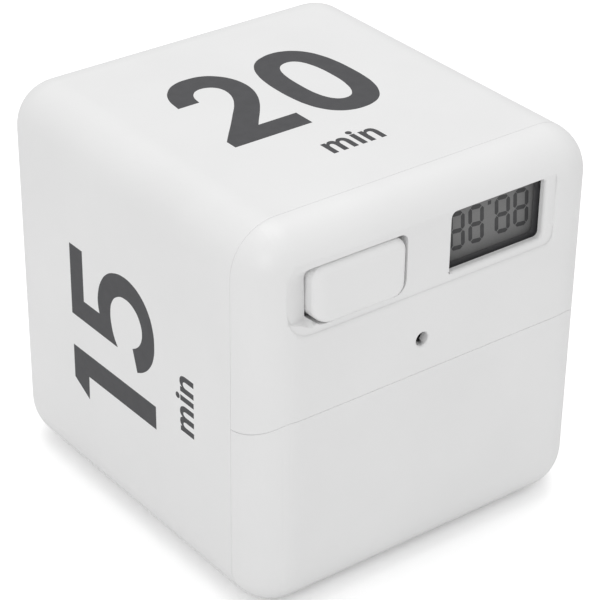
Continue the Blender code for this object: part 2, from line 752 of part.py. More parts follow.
def slot_mesh():
    """The button's slot; only its low right corner follows the button's."""
    radii = (SLOT_SCOOP_CORNER_RADIUS, BUTTON_CORNER_RADIUS, SLOT_HIGH_RIGHT_RADIUS, SLOT_HIGH_LEFT_RADIUS)
    points = outline(*slot_sides(), radii)
    return loft_mesh("slot", [across(FRONT_Y - OVERRUN, points), across(WALL_BACK_Y + OVERRUN, points)])


def sound_hole_mesh():
    """The sound hole along its own Z: a rounded mouth, a straight bore and a wider recess behind the bore."""
    mouth = SOUND_HOLE_RADIUS + SOUND_HOLE_ROUNDING
    profile = [(0, OVERRUN), (mouth, OVERRUN)]
    for step in range(CORNER_SEGMENTS + 1):
        angle = 0.5 * math.pi * step / CORNER_SEGMENTS
        inward = SOUND_HOLE_ROUNDING * math.sin(angle)
        down = SOUND_HOLE_ROUNDING * (1 - math.cos(angle))
        profile.append((mouth - inward, -down))
    back = -CASE_WALL - OVERRUN
    profile += [(SOUND_HOLE_RADIUS, -SOUND_HOLE_WALL), (SOUND_RECESS_RADIUS, -SOUND_HOLE_WALL)]
    profile += [(SOUND_RECESS_RADIUS, back), (0, back)]
    return turned_mesh("sound_hole", profile)


def screw_places():
    """Where the board's screws go: x, z and the face that each head bears on."""
    lug_back = BAY_BACK_Y
    return (
        (-BOSS_X, BOSS_LOW_Z, lug_back),
        (BOSS_X, BOSS_LOW_Z, lug_back),
        (-BOSS_X, BOSS_HIGH_Z, BOARD_BACK_Y),
        (BOSS_X, BOSS_HIGH_Z, BOARD_BACK_Y),
    )


def make_front_panel():
    """Upper half of the front cap: sunk band, display window, button slot, scoop and sound hole."""
    piece = cap_piece("front_panel", -OVERRUN, SPLIT_Z + SEAM_GAP / 2)
    left, right, low, high = slot_sides()
    guide = helper_block(
        "button_guide",
        (left - SCOOP_WIDTH, WALL_BACK_Y - OVERLAP, low - GUIDE_WALL),
        (right + GUIDE_WALL, GUIDE_BACK_Y, high + GUIDE_WALL),
    )
    join(piece, guide)
    for number, (x, z, _) in enumerate(screw_places()):
        boss = helper_bar(
            f"boss_{number}",
            BOSS_RADIUS,
            x,
            z,
            WALL_BACK_Y - OVERLAP,
            BOARD_FRONT_Y - FIT_GAP,
            SMALL_ROUND_STEPS,
        )
        join(piece, boss)
    inner_top_z = CASE_HEIGHT - CASE_WALL
    for side in (-1, 1):
        x = side * HOOK_SPACING / 2
        end = "left" if side < 0 else "right"
        hook = helper_block(
            f"hook_{end}",
            (x - HOOK_WIDTH / 2, HOOK_FRONT_Y, inner_top_z - FIT_GAP - TONGUE_WALL),
            (x + HOOK_WIDTH / 2, HOOK_FRONT_Y + HOOK_DEPTH, inner_top_z - FIT_GAP + HOOK_REACH),
        )
        join(piece, hook)
    frame_low, frame_high = frame_corners()
    pocket = helper_block(
        "frame_pocket",
        (frame_low[0] - FIT_GAP, WALL_BACK_Y, frame_low[2] - FIT_GAP),
        (frame_high[0] + FIT_GAP, frame_high[1] + FIT_GAP, frame_high[2] + FIT_GAP),
    )
    cut(piece, pocket)
    cut(piece, collar_helper("collar_room", FRAME_COLLAR_WALL + FIT_GAP, WINDOW_BACK_Y, FRAME_FRONT_Y))
    cut(piece, add_helper("band", band_mesh()))
    cut(piece, add_helper("window", window_mesh()))
    cut(piece, add_helper("scoop", scoop_mesh()))
    cut(piece, add_helper("slot", slot_mesh()))
    hole_place = (SOUND_HOLE_X, FRONT_Y, SOUND_HOLE_Z)
    cut(piece, add_helper("sound_hole", sound_hole_mesh(), hole_place, FACE_FORWARD))
    for number, (x, z, face_y) in enumerate(screw_places()):
        bore = helper_bar(
            f"boss_bore_{number}",
            SCREW_SHANK_RADIUS + FIT_GAP,
            x,
            z,
            face_y + FIT_GAP - BOARD_SCREW_LENGTH - FIT_GAP - FIT_GAP,
            BOARD_FRONT_Y + OVERRUN,
            SMALL_ROUND_STEPS,
        )
        cut(piece, bore)
    return piece


def make_button(slide):
    """Hollow push button with rounded edges, a flange behind the panel and a stem on the switch."""
    depth = FLANGE_BACK_Y - FRONT_Y
    bm = cube_bmesh((BUTTON_WIDTH, depth, BUTTON_HEIGHT))
    round_edges(bm, along(bm, 1), BUTTON_CORNER_RADIUS, CORNER_SEGMENTS)
    front = [e for e in bm.edges if all(v.co.y < 0 for v in e.verts)]
    round_edges(bm, front, BUTTON_FACE_RADIUS, CORNER_SEGMENTS)
    middle_y = (FRONT_Y + FLANGE_BACK_Y) / 2
    mesh = finished_mesh("power_button", bm)
    place = (BUTTON_X, middle_y, BUTTON_Z)
    piece = add_object("power_button", mesh, place, surface=button_white, parent=slide)
    half_width = BUTTON_WIDTH / 2
    half_height = BUTTON_HEIGHT / 2
    flange = helper_block(
        "button_flange",
        (BUTTON_X - half_width - BUTTON_FLANGE, FLANGE_FRONT_Y, BUTTON_Z - half_height - BUTTON_FLANGE),
        (BUTTON_X + half_width + BUTTON_FLANGE, FLANGE_BACK_Y, BUTTON_Z + half_height + BUTTON_FLANGE),
        BUTTON_CORNER_RADIUS,
    )
    hollow = helper_block(
        "button_hollow",
        (BUTTON_X - half_width + BUTTON_WALL, FRONT_Y + BUTTON_WALL, BUTTON_Z - half_height + BUTTON_WALL),
        (BUTTON_X + half_width - BUTTON_WALL, FLANGE_BACK_Y + OVERRUN, BUTTON_Z + half_height - BUTTON_WALL),
        BUTTON_CORNER_RADIUS - BUTTON_WALL,
    )
    stem = helper_block(
        "button_stem",
        (BUTTON_X - BUTTON_STEM_WIDTH / 2, FRONT_Y + BUTTON_WALL - OVERLAP, BUTTON_Z - BUTTON_STEM_WIDTH / 2),
        (BUTTON_X + BUTTON_STEM_WIDTH / 2, FLANGE_BACK_Y, BUTTON_Z + BUTTON_STEM_WIDTH / 2),
    )
    join(piece, flange)
    cut(piece, hollow)
    join(piece, stem)
    return piece


def make_switch(slide):
    """Push switch on the board, with the plunger that the button's stem presses."""
    body_back = BOARD_FRONT_Y - FIT_GAP
    body_front = body_back - SWITCH_DEPTH
    half = SWITCH_WIDTH / 2
    body = piece_block(
        "switch_body",
        (BUTTON_X - half, body_front, BUTTON_Z - half),
        (BUTTON_X + half, body_back, BUTTON_Z + half),
        black,
    )
    well_half = PLUNGER_WIDTH / 2 + FIT_GAP
    well = helper_block(
        "switch_well",
        (BUTTON_X - well_half, body_front - OVERRUN, BUTTON_Z - well_half),
        (BUTTON_X + well_half, body_front + 2 * BUTTON_TRAVEL + FIT_GAP, BUTTON_Z + well_half),
    )
    cut(body, well)
    piece_block(
        "switch_plunger",
        (BUTTON_X - PLUNGER_WIDTH / 2, FLANGE_BACK_Y + FIT_GAP, BUTTON_Z - PLUNGER_WIDTH / 2),
        (BUTTON_X + PLUNGER_WIDTH / 2, body_front + BUTTON_TRAVEL, BUTTON_Z + PLUNGER_WIDTH / 2),
        inner_white,
        parent=slide,
    )


def make_display():
    """Two-plate display glass in its frame, and the rubber strip that joins it to the board."""
    left, right, low, high = glass_sides()
    plate_y = GLASS_FRONT_Y + GLASS_PLATE
    panes = piece_block(
        "lcd_glass",
        (left, GLASS_FRONT_Y, low - GLASS_LEDGE),
        (right, GLASS_BACK_Y, high),
        glass,
    )
    step = helper_block(
        "glass_step",
        (left - OVERRUN, plate_y, low - GLASS_LEDGE - OVERRUN),
        (right + OVERRUN, GLASS_BACK_Y + OVERRUN, low),
    )
    cut(panes, step)
    frame_low, frame_high = frame_corners()
    frame = piece_block("lcd_frame", frame_low, frame_high, black)
    room = helper_block(
        "frame_room",
        (left - FIT_GAP, GLASS_FRONT_Y - FIT_GAP, low - GLASS_LEDGE - FIT_GAP),
        (right + FIT_GAP, GLASS_BACK_Y + FIT_GAP, high + FIT_GAP),
    )
    collar_back = (FRAME_FRONT_Y + GLASS_FRONT_Y - FIT_GAP) / 2
    collar = collar_helper("frame_collar", FRAME_COLLAR_WALL, WINDOW_BACK_Y + FIT_GAP, collar_back)
    mouth = collar_helper("frame_mouth", 0, FRONT_Y - OVERRUN, GLASS_FRONT_Y)
    strip_low = low - GLASS_LEDGE
    strip_high = low - FIT_GAP
    passage = helper_block(
        "frame_passage",
        (left - FIT_GAP, GLASS_BACK_Y, strip_low - FIT_GAP),
        (right + FIT_GAP, frame_high[1] + OVERRUN, strip_high + FIT_GAP),
    )
    join(frame, collar)
    cut(frame, room)
    cut(frame, mouth)
    cut(frame, passage)
    strip_front = plate_y + FIT_GAP
    strip_back = BOARD_FRONT_Y - FIT_GAP
    piece_block("zebra_strip", (left, strip_front, strip_low), (right, strip_back, strip_high), rubber)


def make_board():
    """Circuit board with four screw holes."""
    board = piece_block(
        "main_board",
        (-BOARD_WIDTH / 2, BOARD_FRONT_Y, BOARD_LOW_Z),
        (BOARD_WIDTH / 2, BOARD_BACK_Y, BOARD_HIGH_Z),
        board_green,
        BOARD_CORNER_RADIUS,
    )
    for number, (x, z, _) in enumerate(screw_places()):
        hole = helper_bar(
            f"board_hole_{number}",
            SCREW_SHANK_RADIUS + FIT_GAP,
            x,
            z,
            BOARD_FRONT_Y - OVERRUN,
            BOARD_BACK_Y + OVERRUN,
            SMALL_ROUND_STEPS,
        )
        cut(board, hole)


def make_board_parts():
    """Sounder in front of the board; chip, crystal, capacitor and resistors behind it."""
    buzzer_back = BOARD_FRONT_Y - FIT_GAP
    buzzer_front = buzzer_back - BUZZER_DEPTH
    mesh = cylinder_mesh("buzzer", BUZZER_RADIUS, BUZZER_DEPTH)
    place = (SOUND_HOLE_X, (buzzer_front + buzzer_back) / 2, SOUND_HOLE_Z)
    buzzer = add_object("buzzer", mesh, place, FACE_FORWARD, black)
    mouth = helper_bar(
        "buzzer_mouth",
        BUZZER_MOUTH_RADIUS,
        SOUND_HOLE_X,
        SOUND_HOLE_Z,
        buzzer_front - OVERRUN,
        buzzer_front + BUZZER_MOUTH_DEPTH,
        SMALL_ROUND_STEPS,
    )
    cut(buzzer, mouth)
    face_y = BOARD_BACK_Y + FIT_GAP
    bm = bmesh.new()
    bmesh.ops.create_uvsphere(bm, u_segments=ROUND_STEPS, v_segments=SMALL_ROUND_STEPS, radius=1)
    bmesh.ops.scale(bm, vec=(CHIP_RADIUS, CHIP_HEIGHT, CHIP_RADIUS), verts=bm.verts)
    keep_side(bm, (0, 0, 0), (0, 1, 0))
    place = (CHIP_X, face_y, BOARD_LOW_Z + CHIP_ABOVE_BOARD_EDGE)
    add_object("chip_blob", finished_mesh("chip_blob", bm), place, surface=black)
    place = (CRYSTAL_X, face_y + CRYSTAL_RADIUS, BOARD_LOW_Z + CRYSTAL_ABOVE_BOARD_EDGE)
    mesh = cylinder_mesh("crystal", CRYSTAL_RADIUS, CRYSTAL_LENGTH, SMALL_ROUND_STEPS)
    add_object("crystal", mesh, place, FACE_RIGHT, steel)
    rim = CAPACITOR_RADIUS - CAPACITOR_ROUNDING
    top = CAPACITOR_LENGTH / 2
    profile = [(0, top), (rim, top)]
    for step in range(1, CORNER_SEGMENTS + 1):
        angle = 0.5 * math.pi * step / CORNER_SEGMENTS
        across = rim + CAPACITOR_ROUNDING * math.sin(angle)
        profile.append((across, top - CAPACITOR_ROUNDING * (1 - math.cos(angle))))
    profile += [(CAPACITOR_RADIUS, -top), (0, -top)]
    place = (CAPACITOR_X, face_y + CAPACITOR_LENGTH / 2, BOARD_LOW_Z + CAPACITOR_ABOVE_BOARD_EDGE)
    standing = (math.radians(-90), 0, 0)
    add_object("capacitor", turned_mesh("capacitor", profile), place, standing, black)
    mesh = block_mesh("chip_resistor", (RESISTOR_LENGTH, RESISTOR_HEIGHT, RESISTOR_WIDTH))
    mesh.materials.append(black)
    for number in range(RESISTOR_COUNT):
        z = BOARD_LOW_Z + RESISTOR_ABOVE_BOARD_EDGE + number * RESISTOR_PITCH
        add_object(f"chip_resistor_{number + 1}", mesh, (RESISTOR_X, face_y + RESISTOR_HEIGHT / 2, z))


def make_tilt_sensor(end, side):
    """A steel can with an insulating base at its high end and a ball that rolls to the low end."""
    middle = (
        side * TILT_SPACING / 2,
        BOARD_BACK_Y + FIT_GAP + TILT_RADIUS,
        BOARD_LOW_Z + TILT_ABOVE_BOARD_EDGE,
    )
    turn = (0, side * TILT_ANGLE, 0)
    bore = TILT_RADIUS - TILT_WALL
    top = TILT_LENGTH / 2
    floor = -top + TILT_WALL
    profile = [(bore, top), (TILT_RADIUS, top), (TILT_RADIUS, -top), (0, -top)]
    inner = [(0, floor), (bore, floor), (bore, top)]
    mesh = turned_mesh(f"tilt_can_{end}", profile + inner, SMALL_ROUND_STEPS)
    can = add_object(f"tilt_can_{end}", mesh, middle, turn, steel)
    axis = Matrix.Rotation(turn[1], 3, "Y") @ Vector((0, 0, 1))
    base_radius = bore - FIT_GAP
    base_middle = Vector(middle) + axis * (top - TILT_BASE_LENGTH / 2)
    mesh = cylinder_mesh(f"tilt_base_{end}", base_radius, TILT_BASE_LENGTH, SMALL_ROUND_STEPS)
    add_object(f"tilt_base_{end}", mesh, base_middle, turn, black)
    ball_middle = Vector(middle) + axis * (floor + FIT_GAP + TILT_BALL_RADIUS)
    slide = bpy.data.objects.new(f"tilt_slide_{end}", None)
    slide.location = ball_middle
    slide.parent = root
    parts.objects.link(slide)
    bm = bmesh.new()
    bmesh.ops.create_uvsphere(
        bm, u_segments=SMALL_ROUND_STEPS, v_segments=SMALL_ROUND_STEPS // 2, radius=TILT_BALL_RADIUS
    )
    mesh = finished_mesh(f"tilt_ball_{end}", bm)
    add_object(f"tilt_ball_{end}", mesh, ball_middle, surface=steel, parent=slide)
    travel = TILT_LENGTH - TILT_BASE_LENGTH - TILT_WALL - 2 * FIT_GAP - 2 * TILT_BALL_RADIUS
    place = [round(v, 6) for v in ball_middle]
    direction = [round(v, 6) for v in axis]
    print(f"tilt ball {end}: at {place}, axis {direction}, travel {travel:.6f}")
    return can


def screw_mesh(name, length):
    """A screw along its own Z, head up, with the underside of the head at its origin."""
    rounding = SCREW_HEAD_HEIGHT / 2
    profile = [
        (0, SCREW_HEAD_HEIGHT),
        (SCREW_HEAD_RADIUS - rounding, SCREW_HEAD_HEIGHT),
        (SCREW_HEAD_RADIUS, rounding),
        (SCREW_HEAD_RADIUS, 0),
        (SCREW_SHANK_RADIUS, 0),
        (SCREW_SHANK_RADIUS, SCREW_TIP_LENGTH - length),
        (0, -length),
    ]
    return turned_mesh(name, profile, SMALL_ROUND_STEPS)


def make_screws(names, places, length, head_forward=False):
    """Equal screws, each with the underside of its head at its place; heads look back unless head_forward."""
    mesh = screw_mesh("screw", length)
    mesh.materials.append(steel)
    turn = (math.radians(90 if head_forward else -90), 0, 0)
    for name, place in zip(names, places):
        add_object(name, mesh, place, turn)


def make_cells():
    """Two round cells that lie opposite ways."""
    half = CELL_LENGTH / 2
    shoulder = half - CELL_NUB_LENGTH
    profile = [
        (0, half),
        (CELL_NUB_RADIUS, half),
        (CELL_NUB_RADIUS, shoulder),
        (CELL_RADIUS - CELL_EDGE, shoulder),
        (CELL_RADIUS, shoulder - CELL_EDGE),
        (CELL_RADIUS, -half + CELL_EDGE),
        (CELL_RADIUS - CELL_EDGE, -half),
        (0, -half),
    ]
    inner_end = BAY_INNER_LENGTH / 2
    nub_x = inner_end - 2 * FIT_GAP - CONTACT_THICKNESS
    for name, z, side in (("cell_upper", CELL_HIGH_Z, 1), ("cell_lower", CELL_LOW_Z, -1)):
        place = (side * (nub_x - half), CELL_Y, z)
        turn = (0, side * math.radians(90), 0)
        add_object(name, turned_mesh(name, profile), place, turn, jacket)


def spring_points():
    """A cone-shaped coil from its wide end up to its narrow end, clear of both."""
    count = SPRING_TURNS * SPRING_POINTS_PER_TURN
    first = SPRING_WIRE_RADIUS
    rise = SPRING_LENGTH - 2 * SPRING_WIRE_RADIUS
    points = []
    for step in range(count + 1):
        share = step / count
        radius = SPRING_BASE_RADIUS + (SPRING_TOP_RADIUS - SPRING_BASE_RADIUS) * share
        angle = 2 * math.pi * step / SPRING_POINTS_PER_TURN
        points.append((radius * math.cos(angle), radius * math.sin(angle), first + rise * share))
    return points


def least_gap(points, radius, apart):
    """The least clear space between turns of a coil."""
    best = math.inf
    for i, a in enumerate(points):
        for b in points[i + apart:]:
            best = min(best, (Vector(a) - Vector(b)).length - 2 * radius)
    return best


def make_springs():
    """One spring at the negative end of each cell."""
    points = spring_points()
    gap = least_gap(points, SPRING_WIRE_RADIUS, SPRING_POINTS_PER_TURN // 2 + 1)
    print(f"least gap of the springs to themselves: {gap / MM:.3f} mm")
    wide_x = BAY_INNER_LENGTH / 2 - 2 * FIT_GAP - CONTACT_THICKNESS
    for name, z, side in (("spring_upper", CELL_HIGH_Z, -1), ("spring_lower", CELL_LOW_Z, 1)):
        turn = (0, -side * math.radians(90), 0)
        tube(name, points, SPRING_WIRE_RADIUS, steel, (side * wide_x, CELL_Y, z), turn)


def make_contacts():
    """Contact plates at both ends of the bay; the two on the right have solder tabs behind the bay."""
    outer = BAY_INNER_LENGTH / 2 - FIT_GAP
    inner = outer - CONTACT_THICKNESS
    half = CONTACT_WIDTH / 2
    link = piece_block(
        "contact_link",
        (-outer, CELL_Y - half, CELL_LOW_Z - half),
        (-inner, CELL_Y + half, CELL_HIGH_Z + half),
        steel,
        CONTACT_CORNER_RADIUS,
        0,
    )
    made = [link]
    for name, z in (("contact_plus", CELL_HIGH_Z), ("contact_minus", CELL_LOW_Z)):
        plate = piece_block(
            name,
            (inner, CELL_Y - half, z - half),
            (outer, CELL_Y + half, z + half),
            steel,
            CONTACT_CORNER_RADIUS,
            0,
        )
        tab = helper_block(
            name + "_tab",
            (inner, CELL_Y, z - CONTACT_TAB_WIDTH / 2),
            (outer, BAY_BACK_Y + CONTACT_TAB_LENGTH, z + CONTACT_TAB_WIDTH / 2),
        )
        join(plate, tab)
        made.append(plate)
    return made


def make_bay():
    """Tray for the two cells on a plate that fills the housing's mouth and carries the board."""
    half_length = BAY_INNER_LENGTH / 2
    bm = rounded_case_bmesh(BAY_INSET)
    bmesh.ops.translate(bm, vec=(0, BAY_RIM_Y - FRONT_Y - BAY_INSET, 0), verts=bm.verts)
    keep_side(bm, (0, BAY_BACK_Y, 0), (0, -1, 0))
    keep_side(bm, (0, 0, BAY_INNER_HIGH_Z + BAY_WALL), (0, 0, -1))
    piece = add_object("battery_bay", finished_mesh("battery_bay", bm), surface=inner_white)
    bm = rounded_case_bmesh(TONGUE_INSET)
    keep_side(bm, (0, BAY_FLOOR_Y, 0), (0, 1, 0))
    keep_side(bm, (0, BAY_BACK_Y, 0), (0, -1, 0))
    keep_side(bm, (0, 0, BOARD_LOW_Z - FIT_GAP), (0, 0, -1))
    plate = add_helper("bay_plate", finished_mesh("bay_plate", bm))
    pocket = helper_block(
        "bay_pocket",
        (-half_length, BAY_RIM_Y - OVERRUN, BAY_INNER_LOW_Z),
        (half_length, BAY_FLOOR_Y, BAY_INNER_HIGH_Z),
    )
    rib = helper_block(
        "bay_rib",
        (-BAY_RIB_LENGTH / 2, BAY_FLOOR_Y - BAY_RIB_HEIGHT, BAY_MIDDLE_Z - BAY_RIB_THICKNESS / 2),
        (BAY_RIB_LENGTH / 2, BAY_FLOOR_Y + OVERLAP, BAY_MIDDLE_Z + BAY_RIB_THICKNESS / 2),
    )
    join(piece, plate)
    cut(piece, pocket)
    join(piece, rib)
    for side in (-1, 1):
        end = "left" if side < 0 else "right"
        x = side * BOSS_X
        lug = helper_block(
            f"lug_{end}",
            (x - LUG_WIDTH / 2, BOARD_BACK_Y + FIT_GAP, BOARD_LOW_Z - FIT_GAP - BAY_WALL),
            (x + LUG_WIDTH / 2, BAY_BACK_Y, BOSS_LOW_Z + LUG_WIDTH / 2),
        )
        join(piece, lug)
        hole = helper_bar(
            f"lug_hole_{end}",
            SCREW_SHANK_RADIUS + FIT_GAP,
            x,
            BOSS_LOW_Z,
            BOARD_BACK_Y - OVERRUN,
            BAY_BACK_Y + OVERRUN,
            SMALL_ROUND_STEPS,
        )
        cut(piece, hole)
        hole = helper_bar(
            f"floor_hole_{end}",
            SCREW_SHANK_RADIUS + FIT_GAP,
            side * POST_X,
            BAY_MIDDLE_Z,
            BAY_FLOOR_Y - OVERRUN,
            BAY_BACK_Y + OVERRUN,
            SMALL_ROUND_STEPS,
        )
        cut(piece, hole)
    outer = half_length - FIT_GAP
    for name, z in (("plus", CELL_HIGH_Z), ("minus", CELL_LOW_Z)):
        slit = helper_block(
            f"tab_slit_{name}",
            (outer - CONTACT_THICKNESS - FIT_GAP, BAY_FLOOR_Y - OVERLAP, z - CONTACT_TAB_WIDTH / 2 - FIT_GAP),
            (outer + FIT_GAP / 2, BAY_BACK_Y + OVERRUN, z + CONTACT_TAB_WIDTH / 2 + FIT_GAP),
        )
        cut(piece, slit)
    return piece


def make_cover(slide):
    """Lower half of the front cap, which pulls off forwards to reach the cells."""
    piece = cap_piece("battery_cover", SPLIT_Z - SEAM_GAP / 2, CASE_HEIGHT + OVERRUN, slide)
    for side in (-1, 1):
        end = "left" if side < 0 else "right"
        x = side * COVER_RIB_SPACING / 2
        rib = helper_block(
            f"cover_rib_{end}",
            (x - COVER_RIB_THICKNESS / 2, WALL_BACK_Y - OVERLAP, CELL_LOW_Z),
            (x + COVER_RIB_THICKNESS / 2, WALL_BACK_Y + CELL_BEHIND_COVER - FIT_GAP, CELL_HIGH_Z),
        )
        join(piece, rib)
    return piece


def smooth_line(points):
    """A smooth line through the points, with a few more between each pair."""
    ends = [2 * Vector(points[0]) - Vector(points[1]), 2 * Vector(points[-1]) - Vector(points[-2])]
    knots = [ends[0]] + [Vector(p) for p in points] + [ends[1]]
    line = []
    for a, b, c, d in zip(knots, knots[1:], knots[2:], knots[3:]):
        for step in range(LEAD_STEPS):
            t = step / LEAD_STEPS
            bend = (a - 2 * b + c) * (t * t - t) * (1 - t) / 2 + (b - 2 * c + d) * (t * t - t) * t / 2
            line.append(b + (c - b) * t + bend)
    line.append(knots[-2])
    return line


def make_leads():
    """Two leads from the contact tabs up to the board; the black one runs behind the red one."""
    tab_x = BAY_INNER_LENGTH / 2 - FIT_GAP - CONTACT_THICKNESS / 2
    tab_y = BAY_BACK_Y + CONTACT_TAB_LENGTH + FIT_GAP + LEAD_RADIUS
    red_y = tab_y + LEAD_SLACK / 2
    black_y = red_y + 2 * LEAD_RADIUS + LEAD_CLEARANCE
    red_x = tab_x - LEAD_SLACK
    black_x = POST_X + POST_RADIUS + LEAD_RADIUS + LEAD_CLEARANCE
    land_z = BOARD_LOW_Z + LEAD_LANDING_RISE
    for name, z, run_x, run_y, inward, surface in (
        ("lead_red", CELL_HIGH_Z, red_x, red_y, LEAD_SLACK, red_cover),
        ("lead_black", CELL_LOW_Z, black_x, black_y, 2 * LEAD_SLACK, black_cover),
    ):
        land_x = BOSS_X - LUG_WIDTH / 2 - inward
        points = [
            (tab_x, tab_y, z),
            ((tab_x + run_x) / 2, (tab_y + run_y) / 2, z),
            (run_x, run_y, z + LEAD_SLACK / 2),
            (run_x, run_y, CELL_HIGH_Z + LEAD_SLACK / 4),
            (land_x, run_y, BOARD_LOW_Z - LEAD_SLACK),
            (land_x, tab_y, land_z - LEAD_SLACK / 4),
            (land_x, BOARD_BACK_Y + LEAD_STAND_OFF, land_z),
            (land_x, BOARD_BACK_Y + FIT_GAP, land_z),
        ]
        if run_x == red_x:
            del points[3]
        tube(name, smooth_line(points), LEAD_RADIUS, surface)


def empty(name, place):
    """A named place that a moving piece hangs on."""
    made = bpy.data.objects.new(name, None)
    made.location = place
    made.parent = root
    parts.objects.link(made)
    return made


cover_slide = empty("cover_slide", (0, FRONT_Y, SPLIT_Z / 2))
button_slide = empty("button_slide", (BUTTON_X, FRONT_Y, BUTTON_Z))

make_housing()
make_front_panel()
make_cover(cover_slide)
make_bay()
make_button(button_slide)
make_switch(button_slide)
make_display()
make_board()
make_board_parts()
make_tilt_sensor("left", -1)
make_tilt_sensor("right", 1)
board_screw_places = [(x, face_y + FIT_GAP, z) for x, z, face_y in screw_places()]
make_screws([f"board_screw_{number + 1}" for number in range(4)], board_screw_places, BOARD_SCREW_LENGTH)
bay_screw_places = [(side * POST_X, BAY_FLOOR_Y - FIT_GAP, BAY_MIDDLE_Z) for side in (-1, 1)]
make_screws(["bay_screw_left", "bay_screw_right"], bay_screw_places, BAY_SCREW_LENGTH, head_forward=True)
make_cells()
make_springs()
make_contacts()
make_leads()
settle(*[piece for piece in parts.objects if piece.type == "MESH"])
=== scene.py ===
# %% [markdown]
# # A cube timer: white moulded shell, printed numbers and a small display
#
# The frame holds the working parts as plain solids. This script gives them their looks: it
# mixes the materials, welds and softens the white shell, prints the numbers, builds the
# display's segments and sets up the camera and the light. Lengths are written in millimetres
# and multiplied by `MM`. The cube stands on the origin, its front looks along -Y and its top is
# +Z.

# %% Tools and the frame
import json
import math

import bmesh
import bpy
from mathutils import Matrix, Vector


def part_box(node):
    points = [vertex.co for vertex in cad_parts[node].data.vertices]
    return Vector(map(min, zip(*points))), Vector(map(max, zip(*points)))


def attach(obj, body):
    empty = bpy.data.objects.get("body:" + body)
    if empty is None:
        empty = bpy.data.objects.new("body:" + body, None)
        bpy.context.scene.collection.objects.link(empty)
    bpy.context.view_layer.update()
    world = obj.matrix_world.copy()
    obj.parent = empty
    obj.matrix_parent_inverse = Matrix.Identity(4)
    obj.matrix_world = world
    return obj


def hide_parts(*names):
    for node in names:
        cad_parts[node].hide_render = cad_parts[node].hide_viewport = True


MM = 0.001
HEIGHT = 62 * MM

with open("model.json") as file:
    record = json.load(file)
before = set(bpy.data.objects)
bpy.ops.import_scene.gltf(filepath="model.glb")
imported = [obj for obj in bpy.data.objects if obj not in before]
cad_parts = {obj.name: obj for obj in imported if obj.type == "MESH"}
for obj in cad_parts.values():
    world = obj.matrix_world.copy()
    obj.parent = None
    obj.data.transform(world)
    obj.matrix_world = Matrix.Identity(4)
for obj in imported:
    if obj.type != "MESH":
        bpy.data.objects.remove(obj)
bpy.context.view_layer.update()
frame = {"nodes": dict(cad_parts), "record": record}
nodes = frame["nodes"]

# %% [markdown]
# ## Small helpers
#
# A material is a network of shader nodes. They could be wired one by one; `add` makes a node,
# sets it and links it in one line, so that each material below reads as a short list. A screen
# colour isn't linear, as the numbers in a shader are, so `hex_colour` converts it.


# %% Colours and shader nodes
def hex_colour(text):
    """A screen colour such as "F2F2F0" as linear red, green, blue and alpha."""
    parts = [int(text[i : i + 2], 16) / 255 for i in (0, 2, 4)]
    linear = [p / 12.92 if p <= 0.04045 else ((p + 0.055) / 1.055) ** 2.4 for p in parts]
    return (*linear, 1.0)


def feed(tree, socket, value):
    """Gives a socket another node's output, or a plain value."""
    if isinstance(value, bpy.types.NodeSocket):
        tree.links.new(value, socket)
    else:
        socket.default_value = value


def add(tree, kind, sockets=None, **settings):
    """A shader node with its settings; each socket takes a value or another node's output."""
    node = tree.nodes.new("ShaderNode" + kind)
    for name, value in settings.items():
        setattr(node, name, value)
    for name, value in (sockets or {}).items():
        feed(tree, node.inputs[name], value)
    return node


def start_material(name):
    """An empty node material, its tree and the object coordinates that all patterns use."""
    material = bpy.data.materials.new(name)
    material.use_nodes = True
    tree = material.node_tree
    tree.nodes.clear()
    return material, tree, add(tree, "TexCoord").outputs["Object"]


def end_material(material, tree, sockets):
    """Closes a material with one Principled shader."""
    shader = add(tree, "BsdfPrincipled", sockets)
    add(tree, "OutputMaterial", {"Surface": shader.outputs[0]})
    return material


print("a mid grey in linear light:", round(hex_colour("808080")[0], 3))

# %% [markdown]
# Most patterns here are noise of a known size, spread over a range of roughness or between two
# colours. The values of noise lie mostly between 0.3 and 0.7, so that span is mapped on to the
# range that is wanted.

# %% Noise, ranges, colours and bumps
# A Mix node has sockets for several kinds of data. These are the numbers of its colour sockets.
MIX_FACTOR, MIX_FIRST, MIX_SECOND = 0, 6, 7
MIX_COLOUR = 2


def noise(tree, place, size, detail=2.0, roughness=0.5):
    """Noise whose patches are about `size` across."""
    sockets = {"Vector": place, "Scale": 1 / size, "Detail": detail, "Roughness": roughness}
    return add(tree, "TexNoise", sockets).outputs["Fac"]


def spread(tree, factor, low, high, start=0.3, end=0.7):
    """Maps a factor on to a range of values."""
    sockets = {"Value": factor, "From Min": start, "From Max": end, "To Min": low, "To Max": high}
    return add(tree, "MapRange", sockets).outputs["Result"]


def mix_colours(tree, factor, first, second):
    """A colour between two others."""
    sockets = {MIX_FACTOR: factor, MIX_FIRST: first, MIX_SECOND: second}
    return add(tree, "Mix", sockets, data_type="RGBA").outputs[MIX_COLOUR]


def tones(tree, factor, first, second, start=0.3, end=0.7):
    """A colour that wanders between two screen colours as a noise does."""
    share = spread(tree, factor, 0.0, 1.0, start, end)
    return mix_colours(tree, share, hex_colour(first), hex_colour(second))


def bump(tree, height, depth, below=None):
    """A bump whose full height is `depth`."""
    sockets = {"Height": height, "Distance": depth, "Strength": 1.0}
    if below:
        sockets["Normal"] = below
    return add(tree, "Bump", sockets).outputs["Normal"]
